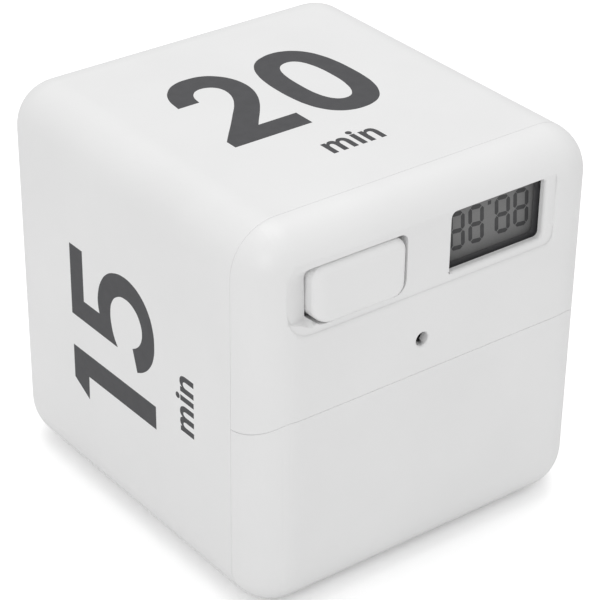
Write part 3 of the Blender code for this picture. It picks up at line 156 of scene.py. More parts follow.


# %% [markdown]
# ## Moulded plastics
#
# The shell, the switch cap and the display's frame are injection-moulded, and carry the fine
# spark-eroded texture of the mould. A picture wrapped round them would stretch at the rounded
# edges; noise on object coordinates keeps its size everywhere. It is used at three scales: the
# texture, drawn at 0.3 mm because the real tenth of a millimetre wouldn't show, a slow drift of
# tone over centimetres, and a gloss that varies where hands have rubbed it. The black walls in
# the window are painted lighter towards the display, by depth: a painted reflection of the
# display.

# %% Moulded plastics
DRIFT, RUBBED, WAVES = 18 * MM, 7 * MM, 9 * MM
WAVE_HEIGHT = 0.012 * MM
# Depths where the painted reflection on the black window walls rises, and where it fades again.
REFLECTION_RISES = (-31.3 * MM, -29.9 * MM)
REFLECTION_FADES = (-29.0 * MM, -27.5 * MM)


def between_depths(tree, place, rise, fall):
    """A factor that rises from 0 to 1 over one span of depth and falls back over another."""
    depth = add(tree, "SeparateXYZ", {"Vector": place}).outputs["Y"]
    rising = spread(tree, depth, 0.0, 1.0, *rise)
    falling = spread(tree, depth, 1.0, 0.0, *fall)
    return add(tree, "Math", {0: rising, 1: falling}, operation="MULTIPLY").outputs[0]


def moulded_plastic(name, colour, shade, roughness, grain=0.3 * MM, depth=0.002 * MM, painted_reflection=None):
    """Moulded plastic: spark-eroded grain, slow drift of tone, uneven gloss and, if given, a
    painted reflection.
    """
    material, tree, place = start_material(name)
    drift = noise(tree, place, DRIFT, 3.0)
    rub = noise(tree, place, RUBBED, 4.0, 0.6)
    grains = noise(tree, place, grain, 1.0)
    waves = noise(tree, place, WAVES, 1.0)
    base = tones(tree, drift, colour, shade)
    # Painted reflection: the walls in the window are painted lighter towards the display, by
    # depth.
    if painted_reflection:
        reflection_share = between_depths(tree, place, REFLECTION_RISES, REFLECTION_FADES)
        base = mix_colours(tree, reflection_share, base, hex_colour(painted_reflection))
    gloss = spread(tree, rub, roughness - 0.04, roughness + 0.05)
    slow = bump(tree, waves, WAVE_HEIGHT)
    sockets = {
        "Base Color": base,
        "Roughness": gloss,
        "Normal": bump(tree, grains, depth, slow),
        "IOR": 1.5,
    }
    return end_material(material, tree, sockets)


white_abs = moulded_plastic("abs_white_moulded", "EDEDED", "EAEAEA", 0.42)
button_abs = moulded_plastic("abs_white_polished", "EEEEEE", "ECECEC", 0.34, 0.4 * MM, 0.001 * MM)
inner_ps = moulded_plastic("polystyrene_inner_moulding", "D6D7D4", "CDCECB", 0.5)
# The black plastic also carries the painted reflection on the window's walls.
black_abs_painted_reflection = moulded_plastic("abs_black_moulded_painted_reflection", "2C2C2E", "343436", 0.4, painted_reflection="6C6C6E")
print("plastics:", white_abs.name, button_abs.name, inner_ps.name, black_abs_painted_reflection.name)

# %% [markdown]
# ## Printed ink
#
# The numbers are screen-printed in dark grey. The ink is a film of its own, so it needs no mask
# in the white plastic, only its own material: nearly even in colour, with the faint marks of
# the screen's mesh as a bump. They are drawn at 0.16 mm, because real ones are too fine to show.


# %% Ink
def printed_ink():
    """Screen-printed ink: nearly even, with the faint mesh of the screen as a bump."""
    material, tree, place = start_material("ink_screen_printed")
    mottle = noise(tree, place, 1.5 * MM, 3.0)
    mesh_marks = noise(tree, place, 0.16 * MM, 0.0)
    sockets = {
        "Base Color": tones(tree, mottle, "505052", "565658"),
        "Roughness": spread(tree, mottle, 0.46, 0.54),
        "IOR": 1.2,
        "Normal": bump(tree, mesh_marks, 0.002 * MM),
    }
    return end_material(material, tree, sockets)


ink = printed_ink()
print("ink:", ink.name)

# %% [markdown]
# ## Metal and circuit board
#
# The springs, contacts, cans and screws are nickel-plated steel. Drawing and rolling leave
# lines along the metal, which a noise stretched along X gives. The board is glass fibre
# under green solder mask, and its copper tracks lie under the mask as lighter raised lines, for
# which a brick pattern with thin joints stands.

# %% Metal and board
ALONG_THE_LINES = 0.08
TRACK_SPACING = 6 * MM


def brushed_metal(name, colour, stained, roughness):
    """Plated spring steel: drawn or rolled, with fine lines along X and a little stain."""
    material, tree, place = start_material(name)
    stretched = {"Vector": place, "Scale": (ALONG_THE_LINES, 1.0, 1.0)}
    drawn = add(tree, "Mapping", stretched).outputs["Vector"]
    lines = noise(tree, drawn, 0.12 * MM, 2.0)
    stain = noise(tree, place, 3 * MM, 4.0)
    sockets = {
        "Base Color": tones(tree, stain, colour, stained, 0.45, 0.75),
        "Metallic": 1.0,
        "Roughness": spread(tree, lines, roughness - 0.06, roughness + 0.1),
        "Normal": bump(tree, lines, 0.002 * MM),
    }
    return end_material(material, tree, sockets)


def circuit_board():
    """Green solder mask over copper tracks, which show as lighter raised lines."""
    material, tree, place = start_material("fr4_board_solder_mask")
    upright = {"Vector": place, "Rotation": (math.radians(90), 0, 0)}
    turned = add(tree, "Mapping", upright).outputs["Vector"]
    layout = {"Vector": turned, "Scale": 1 / TRACK_SPACING}
    layout |= {"Mortar Size": 0.03, "Brick Width": 0.9, "Row Height": 0.3}
    tracks = add(tree, "TexBrick", layout).outputs["Fac"]
    weave = noise(tree, place, 0.5 * MM, 2.0)
    sockets = {
        "Base Color": mix_colours(tree, tracks, hex_colour("1E5B33"), hex_colour("2F7A46")),
        "Roughness": spread(tree, weave, 0.28, 0.4),
        "Normal": bump(tree, tracks, 0.03 * MM),
    }
    return end_material(material, tree, sockets)


steel = brushed_metal("steel_nickel_plated", "CFCDC8", "A9A49A", 0.24)
board = circuit_board()
print("metal and board:", steel.name, board.name)

# %% [markdown]
# ## Rubber, cable skins and the cells' sleeve
#
# Rubber and extruded cable skin are dull and soft-looking, so one function makes them all from
# a colour, a roughness and a grain. A cell wears a shrink sleeve, smooth and a little metallic.
# Its grey bands are found by the distance from the cell's middle, so both ends take one rule.

# %% Soft skins and sleeve
BAND_START, BAND_FULL = 13.8 * MM, 14.0 * MM


def soft_skin(name, colour, shade, roughness, grain):
    """Rubber, cable skin or moulded epoxy: dull, with a soft fine grain."""
    material, tree, place = start_material(name)
    drift = noise(tree, place, 4 * MM, 3.0)
    sockets = {
        "Base Color": tones(tree, drift, colour, shade),
        "Roughness": spread(tree, drift, roughness - 0.05, roughness + 0.05),
        "Normal": bump(tree, noise(tree, place, grain, 2.0), 0.006 * MM),
    }
    return end_material(material, tree, sockets)


def cell_sleeve():
    """Shrink sleeve of a plain cell: blue, with a pale grey band towards each end."""
    material, tree, place = start_material("pet_shrink_sleeve")
    along = add(tree, "SeparateXYZ", {"Vector": place}).outputs["X"]
    far = add(tree, "Math", {0: along}, operation="ABSOLUTE").outputs[0]
    grain = noise(tree, place, 0.8 * MM, 2.0)
    sockets = {
        "Base Color": tones(tree, far, "34506E", "B4B8BB", BAND_START, BAND_FULL),
        "Roughness": spread(tree, grain, 0.26, 0.36),
        "Metallic": 0.3,
        "Normal": bump(tree, grain, 0.004 * MM),
    }
    return end_material(material, tree, sockets)


rubber = soft_skin("rubber_conductive", "1B1B1D", "222224", 0.7, 0.2 * MM)
red_pvc = soft_skin("pvc_red_extruded", "A81A16", "B4231C", 0.42, 0.3 * MM)
black_pvc = soft_skin("pvc_black_extruded", "151515", "1C1C1C", 0.42, 0.3 * MM)
sleeve = cell_sleeve()
print("skins:", rubber.name, red_pvc.name, black_pvc.name, sleeve.name)

# %% [markdown]
# ## The display
#
# The display is switched off: a grey polariser over a sparkling reflector, with its segments as
# a slightly darker film. Glass over a real reflector could be modelled, but at this size the
# eye only gets the grey and a soft sheen, so two opaque surfaces with a low index of refraction
# do the work.


# %% Display materials
def display_panel():
    """Reflective display: a grey polariser over a fine-grained reflector."""
    material, tree, place = start_material("lcd_reflective_polariser")
    sparkle = noise(tree, place, 0.2 * MM, 1.0)
    drift = noise(tree, place, 6 * MM, 2.0)
    tone = tones(tree, sparkle, "7E7E7E", "848484")
    base = mix_colours(tree, spread(tree, drift, 0.0, 0.35), tone, hex_colour("787878"))
    gloss = spread(tree, drift, 0.42, 0.5)
    return end_material(material, tree, {"Base Color": base, "Roughness": gloss, "IOR": 1.25})


def display_segment():
    """A segment at rest: a slightly darker film behind the polariser."""
    material, tree, place = start_material("lcd_segment_film")
    cloud = noise(tree, place, 0.9 * MM, 2.0)
    base = tones(tree, cloud, "49494A", "505051")
    gloss = spread(tree, cloud, 0.42, 0.5)
    return end_material(material, tree, {"Base Color": base, "Roughness": gloss, "IOR": 1.25})


panel_grey = display_panel()
segment_grey = display_segment()
print("display:", panel_grey.name, segment_grey.name)

# %% [markdown]
# ## Painting the frame's pieces
#
# Each piece of the frame names the kind of finish that it has. A table from those names to the
# materials paints all of them at once, and a piece added later can't be forgotten.

# %% Finishes
finishes = {
    "white_moulding": white_abs,
    "button_moulding": button_abs,
    "inner_moulding": inner_ps,
    "display_glass": panel_grey,
    "circuit_board": board,
    "black_moulding": black_abs_painted_reflection,
    "conductive_rubber": rubber,
    "bright_steel": steel,
    "red_insulation": red_pvc,
    "black_insulation": black_pvc,
    "cell_jacket": sleeve,
}
for part in frame["record"]["subparts"]:
    mesh = nodes[part["node"]].data
    mesh.materials.clear()
    mesh.materials.append(finishes[part["material_slot"]])

# %% [markdown]
# ## The white shell
#
# The frame keeps a clear gap between the shell's pieces so that they can be told apart. On the
# real thing the pieces butt together: the seams are hairlines with softened edges. A shell
# modelled anew could drift from the solids, so each shell piece is welded from the frame's own
# triangles, its seam faces are moved up to each other, and the edges that show are rounded.

# %% Welding and rounding a shell
SAME_POINT = 0.002 * MM
SAME_PLANE = 0.01 * MM
CUT_MERGE = 0.001 * MM
FLAT_ANGLE = math.radians(0.6)
SHARP_ANGLE = math.radians(32)
# How much of a face's normal follows an axis: the seam's face, and the wall beside it.
LIES_IN_PLANE, LEAVES_PLANE = 0.99, 0.9
BEVEL_STEPS, MODIFIER_STEPS = 2, 5
FLAT_FACE_WEIGHT = 100
DEPTH, UPWARD = 1, 2


def corners_of(name):
    """The low and the high corner of a frame piece's box."""
    return [Vector(corner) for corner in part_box(name)]


def welded(name):
    """A frame piece as one welded mesh with whole flat faces, in place."""
    source = nodes[name]
    bm = bmesh.new()
    bm.from_mesh(source.data)
    bm.transform(source.matrix_world)
    bmesh.ops.remove_doubles(bm, verts=bm.verts, dist=SAME_POINT)
    bmesh.ops.dissolve_limit(
        bm, angle_limit=FLAT_ANGLE, verts=bm.verts, edges=bm.edges, delimit={"NORMAL"}
    )
    bm.normal_update()
    return bm


def cut(bm, place, normal):
    """Adds edges where a plane crosses a mesh."""
    everything = bm.verts[:] + bm.edges[:] + bm.faces[:]
    bmesh.ops.bisect_plane(bm, geom=everything, dist=CUT_MERGE, plane_co=place, plane_no=normal)


def move_face(bm, axis, level, shift):
    """Moves everything that lies in one plane along that plane's axis."""
    for vert in bm.verts:
        if abs(vert.co[axis] - level) < SAME_PLANE:
            vert.co[axis] += shift


def rim_edges(bm, axis, level, middle):
    """Edges of a plane's face that border the outside of the shell."""
    found = []
    for edge in bm.edges:
        off_plane = any(abs(vert.co[axis] - level) > SAME_PLANE for vert in edge.verts)
        if off_plane or len(edge.link_faces) != 2:
            continue
        outward = (edge.verts[0].co + edge.verts[1].co) / 2 - middle
        outward[axis] = 0
        flat = [face for face in edge.link_faces if abs(face.normal[axis]) > LIES_IN_PLANE]
        side = [face for face in edge.link_faces if abs(face.normal[axis]) < LEAVES_PLANE]
        if flat and side and side[0].normal.dot(outward) > 0:
            found.append(edge)
    return found


def edges_in_box(bm, low, high):
    """Edges that lie inside a box, such as the rim of an opening."""
    found = []
    for edge in bm.edges:
        if all(low[i] <= vert.co[i] <= high[i] for vert in edge.verts for i in (0, 1, 2)):
            found.append(edge)
    return found


def soften(bm, edges, width):
    """Rounds a set of edges."""
    bmesh.ops.bevel(
        bm,
        geom=edges,
        offset=width,
        offset_type="OFFSET",
        segments=BEVEL_STEPS,
        profile=0.5,
        affect="EDGES",
        clamp_overlap=False,
        material=-1,
    )


def object_from(name, bm, material):
    """Turns a finished bmesh into an object of one material."""
    mesh = bpy.data.meshes.new(name)
    bm.to_mesh(mesh)
    bm.free()
    mesh.materials.append(material)
    piece = bpy.data.objects.new(name, mesh)
    bpy.context.scene.collection.objects.link(piece)
    return piece


def shell_piece(name, bm, material, rounding):
    """A shell piece, smooth where it is round and flat where it is flat."""
    piece = object_from(name, bm, material)
    piece.data.shade_smooth()
    piece.data.set_sharp_from_angle(angle=SHARP_ANGLE)
    if rounding:
        rim = piece.modifiers.new("round the weighted edges", "BEVEL")
        rim.limit_method = "WEIGHT"
        rim.width = rounding
        rim.segments = MODIFIER_STEPS
        rim.use_clamp_overlap = False
    weighted = piece.modifiers.new("flat faces stay flat", "WEIGHTED_NORMAL")
    weighted.keep_sharp = True
    weighted.weight = FLAT_FACE_WEIGHT
    return piece


housing = welded("main_housing")
panel = welded("front_panel")
cover = welded("battery_cover")
button = welded("power_button")
print("welded points:", [len(bm.verts) for bm in (housing, panel, cover, button)])

# %% [markdown]
# ### Closing the seams
#
# One seam runs round the case behind the front cap, and one across the cap above the battery
# cover. Both gaps are measured in the frame and shared between the two sides. The cover's seam
# also bends down where the cap is rounded at its ends, so the meshes get extra edges there and
# the points near the seam are lowered in step with their distance from the middle.

# %% Seams
CASE_SEAM = 0.01 * MM
CASE_ROUND = 0.05 * MM
COVER_SEAM = 0.04 * MM
COVER_ROUND = 0.07 * MM
NEAR_SEAM = 2 * COVER_ROUND
SLOPE_STARTS = (25.2 * MM, 26.2 * MM)
SLOPE_SHARE = 0.235
SLOPE_OPENS = 1.03
FRONT_SKIN = 1 * MM

housing_high = corners_of("main_housing")[1]
panel_low, panel_high = corners_of("front_panel")
cover_low = corners_of("battery_cover")[0]
middle = Vector((0, 0, housing_high.z / 2))

housing_rim = min(vert.co.y for vert in housing.verts)
cap_rim = max(vert.co.y for vert in panel.verts if vert.co.z > panel_high.z - SAME_PLANE)
split_high = min(vert.co.z for vert in panel.verts if vert.co.y < panel_low.y + FRONT_SKIN)
split_low = max(vert.co.z for vert in cover.verts if vert.co.y < cover_low.y + FRONT_SKIN)
case_gap, cover_gap = housing_rim - cap_rim, split_high - split_low
print(f"in the frame: case seam {case_gap / MM:.2f} mm, cover seam {cover_gap / MM:.2f} mm")

case_shift = (case_gap - CASE_SEAM) / 2
cover_shift = (cover_gap - COVER_SEAM) / 2
move_face(housing, DEPTH, housing_rim, -case_shift)
move_face(panel, DEPTH, cap_rim, case_shift)
move_face(cover, DEPTH, cap_rim, case_shift)
move_face(panel, UPWARD, split_high, -cover_shift)
move_face(cover, UPWARD, split_low, cover_shift)

soften(housing, rim_edges(housing, DEPTH, housing_rim - case_shift, middle), CASE_ROUND)
for cap_half, level, steeper in (
    (panel, split_high - cover_shift, 1.0),
    (cover, split_low + cover_shift, SLOPE_OPENS),
):
    for start in SLOPE_STARTS:
        cut(cap_half, (-start, 0, 0), (1, 0, 0))
        cut(cap_half, (start, 0, 0), (1, 0, 0))
    soften(cap_half, rim_edges(cap_half, UPWARD, level, Vector((0, 0, level))), COVER_ROUND)
    soften(cap_half, rim_edges(cap_half, DEPTH, cap_rim + case_shift, middle), CASE_ROUND)
    for vert in cap_half.verts:
        if abs(vert.co.z - level) < NEAR_SEAM:
            beyond = [max(abs(vert.co.x) - start, 0) for start in SLOPE_STARTS]
            vert.co.z -= steeper * SLOPE_SHARE * sum(beyond)

# %% [markdown]
# ### The display's window
#
# The window's rim is well rounded to the right and below, and almost sharp above and to the
# left. One bevel operation has one width, so the rim is left to a Bevel modifier, which takes a
# weight from each edge. The lip behind the rim goes a little deeper than in the frame, so that
# no gap shows in front of the display's own frame.

# %% Window rim and lip
BAND_DEPTH = 0.45 * MM
WINDOW_LEFT, WINDOW_RIGHT = 2.2 * MM, 20.0 * MM
WINDOW_FOOT, WINDOW_TOP = 16.2 * MM, 26.2 * MM
WINDOW_ROUND = 0.6 * MM
WINDOW_SHARP_SHARE = 0.25
WINDOW_WALL = 0.8 * MM
WINDOW_LIP = 0.27 * MM

band_floor = panel_low.y + BAND_DEPTH
window_low = Vector((WINDOW_LEFT, band_floor - SAME_PLANE, HEIGHT / 2 + WINDOW_FOOT))
window_high = Vector((WINDOW_RIGHT, band_floor + SAME_PLANE, HEIGHT / 2 + WINDOW_TOP))
window_middle = (window_low + window_high) / 2
weights = panel.edges.layers.float.new("bevel_weight_edge")
window_rim = edges_in_box(panel, window_low, window_high)
lip_points = 0
for vert in panel.verts:
    in_window = all(window_low[i] <= vert.co[i] <= window_high[i] for i in (0, 2))
    if in_window and abs(vert.co.y - band_floor - WINDOW_WALL) < SAME_PLANE:
        vert.co.y += WINDOW_LIP
        lip_points += 1
for edge in window_rim:
    along = edge.verts[1].co - edge.verts[0].co
    outward = Vector((along.z, 0, -along.x))
    if outward.dot((edge.verts[0].co + edge.verts[1].co) / 2 - window_middle) < 0:
        outward = -outward
    # 0 degrees looks right and -90 looks down; between the two the rim is fully rounded.
    turn = math.degrees(math.atan2(outward.z, outward.x))
    off = min(max(turn, -90 - turn, 0) / 90, 1)
    edge[weights] = 1 - (1 - WINDOW_SHARP_SHARE) * off
print("window rim:", len(window_rim), "edges; lip:", lip_points, "points")

# %% [markdown]
# ### The sound hole
#
# The buzzer is heard through a small hole above the cover's seam. Behind its rounded rim the
# bore is drawn in by a tenth of a millimetre, which leaves a smaller black spot, as on the real
# one. Moving the points that are there is enough, and keeps the rim as it is.

# %% Sound hole
HOLE_X = -2.3 * MM
HOLE_ABOVE_SEAM = 5.3 * MM
HOLE_RIM = 1.5 * MM
HOLE_REACH = (0.5 * HOLE_RIM, 1.01 * HOLE_RIM)
HOLE_ROUNDING = 0.3 * MM
HOLE_WALL = 1.75 * MM
HOLE_NARROWER = 0.1 * MM

hole_z = (split_low + split_high) / 2 + HOLE_ABOVE_SEAM
bore_points = 0
for vert in panel.verts:
    outward = Vector((vert.co.x - HOLE_X, 0, vert.co.z - hole_z))
    depth = vert.co.y - panel_low.y
    if HOLE_REACH[0] < outward.length < HOLE_REACH[1] and depth < HOLE_WALL:
        vert.co -= outward.normalized() * HOLE_NARROWER * min(depth / HOLE_ROUNDING, 1)
        bore_points += 1
print("sound hole:", bore_points, "points")

# %% [markdown]
# ### The switch cap
#
# The cap nearly fills its slot to the left and below. Its lower left corner is rounder than the
# others, and its rim is eased, most of all to the left and on top. A corner's outline is moved
# along its diagonal: `corner_inset` says how far in a round corner lies for a point that is
# `skew` off it. The rim is eased by each point's own normal, so the bevel on it stays even.

# %% Cap, its corner and its rim
CAP_DROP = 0.19 * MM
CAP_SPREAD = 0.14 * MM
CAP_FOOT, CAP_FLANK = 2.5 * MM, 4.0 * MM
FLANGE = 0.6 * MM
FLANGE_DEPTH = 0.9 * MM
CAP_CORNER, CAP_NEW_CORNER = 2.0 * MM, 3.1 * MM
CAP_CORNER_REACH = 1.4 * CAP_NEW_CORNER
CORNER_CUTS = (0.7, 1.0)
CAP_EDGE_DEPTH = 1.0 * MM
CAP_LEFT_EASE = 0.9 * MM
CAP_TOP_EASE = 0.6 * MM
CAP_LOW_EASE = 0.17 * MM
LOW_EASE_GROWTH = 3
FACES_SIDEWAYS = 0.02


def corner_inset(radius, skew):
    """How far in along the diagonal a round corner's outline lies."""
    if abs(skew) >= radius:
        return abs(skew) / 2
    return radius - math.sqrt(radius * radius / 2 - skew * skew / 4)


def corner_shift(old, new, skew):
    """How far a point of the outline moves in when the corner's radius grows."""
    return corner_inset(new, skew) - corner_inset(old, skew)


def cut_corner(bm, x, z, reach):
    """Adds edges across a mesh where a reshaped corner begins, and one line between."""
    for share in CORNER_CUTS:
        cut(bm, (x + share * reach, 0, 0), (1, 0, 0))
        cut(bm, (0, 0, z + share * reach), (0, 0, 1))


button_low, button_high = corners_of("power_button")
button_middle = (button_low + button_high) / 2
for vert in button.verts:
    if vert.co.z < button_middle.z - CAP_FOOT:
        vert.co.z -= CAP_DROP
    if vert.co.x < button_middle.x - CAP_FLANK:
        vert.co.x -= CAP_SPREAD

cap_x = button_low.x + FLANGE - CAP_SPREAD
cap_z = button_low.z + FLANGE - CAP_DROP
cap_back = button_high.y - FLANGE_DEPTH + SAME_PLANE
cut_corner(button, cap_x, cap_z, CAP_NEW_CORNER)
for vert in button.verts:
    u, v = vert.co.x - cap_x, vert.co.z - cap_z
    if max(u, v) < CAP_CORNER_REACH and vert.co.y < cap_back:
        shift = corner_shift(CAP_CORNER, CAP_NEW_CORNER, u - v)
        vert.co.x += shift
        vert.co.z += shift

button.normal_update()
eased = 0
for vert in button.verts:
    across = Vector((vert.normal.x, 0, vert.normal.z))
    front_share = 1 - (vert.co.y - button_low.y) / CAP_EDGE_DEPTH
    if front_share > 0 and across.length > FACES_SIDEWAYS:
        across.normalize()
        low_share = min(LOW_EASE_GROWTH * front_share**2, 1)
        vert.co.x += CAP_LEFT_EASE * front_share**2 * max(-across.x, 0)
        vert.co.z -= CAP_TOP_EASE * front_share**2 * max(across.z, 0)
        vert.co.z -= CAP_LOW_EASE * low_share * max(-across.z, 0)
        eased += 1
print("cap rim:", eased, "points")

# %% [markdown]
# ### The slot and the thumb scoop
#
# The slot's lower left corner is rounder too, and the foot of the thumb scoop runs in to it as
# a crease. The corner's outline is moved as the cap's is, and fades out along the left side.
# The scoop's foot is raised by half a wave of a sine, which starts and ends without a kink.

# %% Slot corner and scoop crease
SLOT_SIDE_GAP = 0.3 * MM
SLOT_LOW_GAP = 0.2 * MM
SLOT_CORNER, SLOT_NEW_CORNER = 1.4 * MM, 2.4 * MM
SLOT_HOLD = 1.4 * MM
ON_OUTLINE = 0.03 * MM
SCOOP_WIDTH = 4.2 * MM
SCOOP_DEPTH = 1.7 * MM
SCOOP_FOOT = (0.05 * MM, 3.2 * MM)
CREASE_START, CREASE_END = 0.75 * MM, 3.95 * MM
CREASE_LIFT = 0.55 * MM

slot_x = button_low.x + FLANGE - SLOT_SIDE_GAP
slot_z = button_low.z + FLANGE - SLOT_LOW_GAP
cut_corner(panel, slot_x, slot_z, SLOT_NEW_CORNER)
moved = 0
for vert in panel.verts:
    u, v = vert.co.x - slot_x, vert.co.z - slot_z
    from_outline = abs((u + v) / 2 - corner_inset(SLOT_CORNER, u - v))
    if abs(u - v) < SLOT_NEW_CORNER and from_outline < ON_OUTLINE:
        shift = corner_shift(SLOT_CORNER, SLOT_NEW_CORNER, u - v)
        shift *= min(max((u - v) / SLOT_HOLD + 1, 0), 1)
        vert.co.x += shift
        vert.co.z += shift
        moved += 1
        continue
    run = u + SCOOP_WIDTH
    in_scoop = -SAME_PLANE < vert.co.y - band_floor < SCOOP_DEPTH + SAME_PLANE
    if CREASE_START < run < CREASE_END and SCOOP_FOOT[0] < v < SCOOP_FOOT[1] and in_scoop:
        wave = math.pi * (run - CREASE_START) / (CREASE_END - CREASE_START)
        vert.co.z += CREASE_LIFT * math.sin(wave)
        moved += 1
print("slot and scoop:", moved, "points")

# %% [markdown]
# ### The shell's four pieces
#
# Each reshaped mesh stands for its frame piece: it rides on the same body, so it moves with it,
# and keeps the same finish. Only the panel's window rim needs the Bevel modifier.

# %% Shell pieces
for node, bm, body, slot, rounding in (
    ("main_housing", housing, "case", "white_moulding", 0),
    ("front_panel", panel, "case", "white_moulding", WINDOW_ROUND),
    ("battery_cover", cover, "cover", "white_moulding", 0),
    ("power_button", button, "button", "button_moulding", 0),
):
    piece = shell_piece(node + "_shell", bm, finishes[slot], rounding)
    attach(piece, body)
    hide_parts(node)
    print(piece.name, len(piece.data.polygons), "faces")

# %% [markdown]
# ## Printed numbers
#
# The numbers are plain and heavy, with a small word for minutes below. A font would bring its
# own shapes, so each figure is drawn as outline points: `1` marks a corner, `0` a point that
# the curve passes smoothly. The outlines are filled, given the thickness of ink and laid on the
# faces.


# %% Outlines of the figures, in millimetres
def oval(x, z, half_width, half_height, fullness, count=24):
    """Smooth points of an oval; more fullness makes it squarer."""
    points = []
    for step in range(count):
        angle = 2 * math.pi * step / count
        c, s = math.cos(angle), math.sin(angle)
        across = math.copysign(abs(c) ** (2 / fullness), c)
        upward = math.copysign(abs(s) ** (2 / fullness), s)
        points.append((x + half_width * across, z + half_height * upward, 0))
    return points


TWO = [
    [
        (-15.75, -6.9, 1), (-2.2, -6.9, 1), (-2.2, -3.0, 1), (-8.9, -3.0, 1), (-7.95, -1.8, 0),
        (-6.0, 0.6, 0), (-4.4, 2.85, 0), (-3.15, 5.3, 0), (-2.55, 7.5, 0), (-2.5, 9.6, 0),
        (-3.05, 11.8, 0), (-4.3, 13.7, 0), (-6.1, 15.0, 0), (-8.5, 15.45, 0), (-11.05, 15.1, 0),
        (-13.2, 13.6, 0), (-14.7, 11.15, 0), (-15.25, 7.9, 1), (-11.55, 7.9, 1), (-11.2, 9.7, 0),
        (-10.35, 10.95, 0), (-9.4, 11.45, 0), (-8.5, 11.5, 0), (-7.55, 11.2, 0), (-6.9, 10.7, 0),
        (-6.35, 9.75, 0), (-6.25, 8.05, 0), (-6.8, 6.2, 0), (-8.0, 4.2, 0), (-10.0, 1.8, 0),
        (-12.05, -0.6, 0), (-14.1, -2.9, 0), (-15.75, -4.8, 1),
    ]
]
ZERO = [
    [
        (13.6, 4.35, 0), (13.4, 7.55, 0), (12.85, 10.3, 0), (11.85, 12.65, 0), (10.4, 14.3, 0),
        (8.7, 15.2, 0), (6.9, 15.5, 0), (5.1, 15.2, 0), (3.35, 14.4, 0), (1.8, 12.7, 0),
        (0.8, 10.35, 0), (0.25, 7.55, 0), (0.07, 4.35, 0), (0.2, 1.15, 0), (0.65, -1.65, 0),
        (1.6, -4.1, 0), (3.1, -5.95, 0), (4.9, -6.95, 0), (6.9, -7.25, 0), (8.9, -6.95, 0),
        (10.75, -5.95, 0), (12.2, -4.1, 0), (13.15, -1.65, 0), (13.55, 1.15, 0),
    ],
    [
        (9.93, 4.3, 0), (9.82, 6.85, 0), (9.5, 8.6, 0), (9.05, 9.95, 0), (8.45, 10.85, 0),
        (7.75, 11.35, 0), (6.95, 11.5, 0), (6.1, 11.35, 0), (5.35, 10.9, 0), (4.7, 10.0, 0),
        (4.23, 8.65, 0), (3.96, 6.85, 0), (3.86, 4.3, 0), (3.92, 1.8, 0), (4.17, 0.0, 0),
        (4.6, -1.4, 0), (5.2, -2.4, 0), (5.95, -3.03, 0), (6.95, -3.24, 0), (7.95, -2.95, 0),
        (8.6, -2.3, 0), (9.15, -1.3, 0), (9.55, 0.05, 0), (9.85, 1.8, 0),
    ],
]
ONE = [
    [
        (-10.05, -7.7, 1), (-6.1, -7.7, 1), (-6.3, 14.4, 1), (-12.1, 14.4, 1), (-14.3, 10.45, 1),
        (-10.2, 10.35, 1),
    ]
]
FIVE = [
    [
        (-0.8, 14.42, 1), (-0.82, 2.0, 1), (0.43, 2.85, 0), (2.05, 3.45, 0), (4.3, 3.72, 0),
        (6.35, 3.2, 0), (7.75, 1.9, 0), (8.45, -0.1, 0), (7.93, -2.6, 0), (6.35, -4.1, 0),
        (4.5, -4.55, 0), (2.75, -4.05, 0), (1.55, -3.0, 0), (0.9, -1.95, 1), (-2.65, -3.05, 1),
        (-1.8, -4.65, 0), (-0.15, -6.35, 0), (1.95, -7.4, 0), (4.4, -7.67, 0), (6.55, -7.4, 0),
        (8.85, -6.4, 0), (10.75, -4.55, 0), (11.8, -2.2, 0), (12.0, 0.1, 0), (11.5, 2.4, 0),
        (10.35, 4.45, 0), (8.4, 6.05, 0), (6.4, 6.85, 0), (4.4, 7.05, 0), (2.7, 6.72, 1),
        (2.7, 10.96, 1), (11.22, 10.96, 1), (11.22, 14.42, 1),
    ]
]
THREE = [
    [
        (-14.6, 9.6, 1), (-13.9, 12.0, 0), (-12.2, 14.2, 0), (-9.9, 15.4, 0), (-7.6, 15.7, 0),
        (-5.1, 15.2, 0), (-3.2, 13.9, 0), (-2.2, 11.9, 0), (-2.1, 9.7, 0), (-3.0, 7.4, 0),
        (-4.9, 5.6, 1), (-2.9, 4.2, 0), (-1.75, 2.2, 0), (-1.5, -0.4, 0), (-2.1, -2.9, 0),
        (-3.8, -5.3, 0), (-6.2, -6.7, 0), (-8.6, -7.0, 0), (-11.2, -6.6, 0), (-13.2, -5.2, 0),
        (-14.6, -3.0, 0), (-15.2, -0.4, 1), (-11.6, -0.1, 1), (-11.1, -1.6, 0), (-10.1, -2.9, 0),
        (-8.5, -3.4, 0), (-6.7, -2.9, 0), (-5.5, -1.6, 0), (-5.2, 0.2, 0), (-5.7, 2.0, 0),
        (-7.1, 3.1, 0), (-9.4, 3.4, 1), (-9.4, 6.9, 1), (-7.3, 7.2, 0), (-6.1, 8.2, 0),
        (-5.7, 9.7, 0), (-6.0, 11.1, 0), (-7.0, 12.0, 0), (-8.3, 12.2, 0), (-9.7, 11.7, 0),
        (-10.7, 10.5, 0), (-11.1, 9.1, 1),
    ]
]
SIX = [
    [
        (-4.4, 15.6, 1), (-7.7, 13.6, 0), (-10.9, 10.6, 0), (-13.2, 7.4, 0), (-14.7, 3.9, 0),
        (-15.3, 0.2, 0), (-14.6, -3.2, 0), (-12.6, -5.7, 0), (-9.9, -6.9, 0), (-7.3, -7.0, 0),
        (-4.5, -6.1, 0), (-2.6, -4.0, 0), (-1.9, -1.2, 0), (-2.1, 1.9, 0), (-3.3, 4.5, 0),
        (-5.3, 6.1, 0), (-7.6, 6.6, 0), (-10.1, 6.1, 1), (-8.5, 8.3, 0), (-6.4, 10.4, 0),
        (-3.4, 12.6, 1),
    ],
    oval(-8.55, -0.15, 3.05, 3.35, 2.2),
]
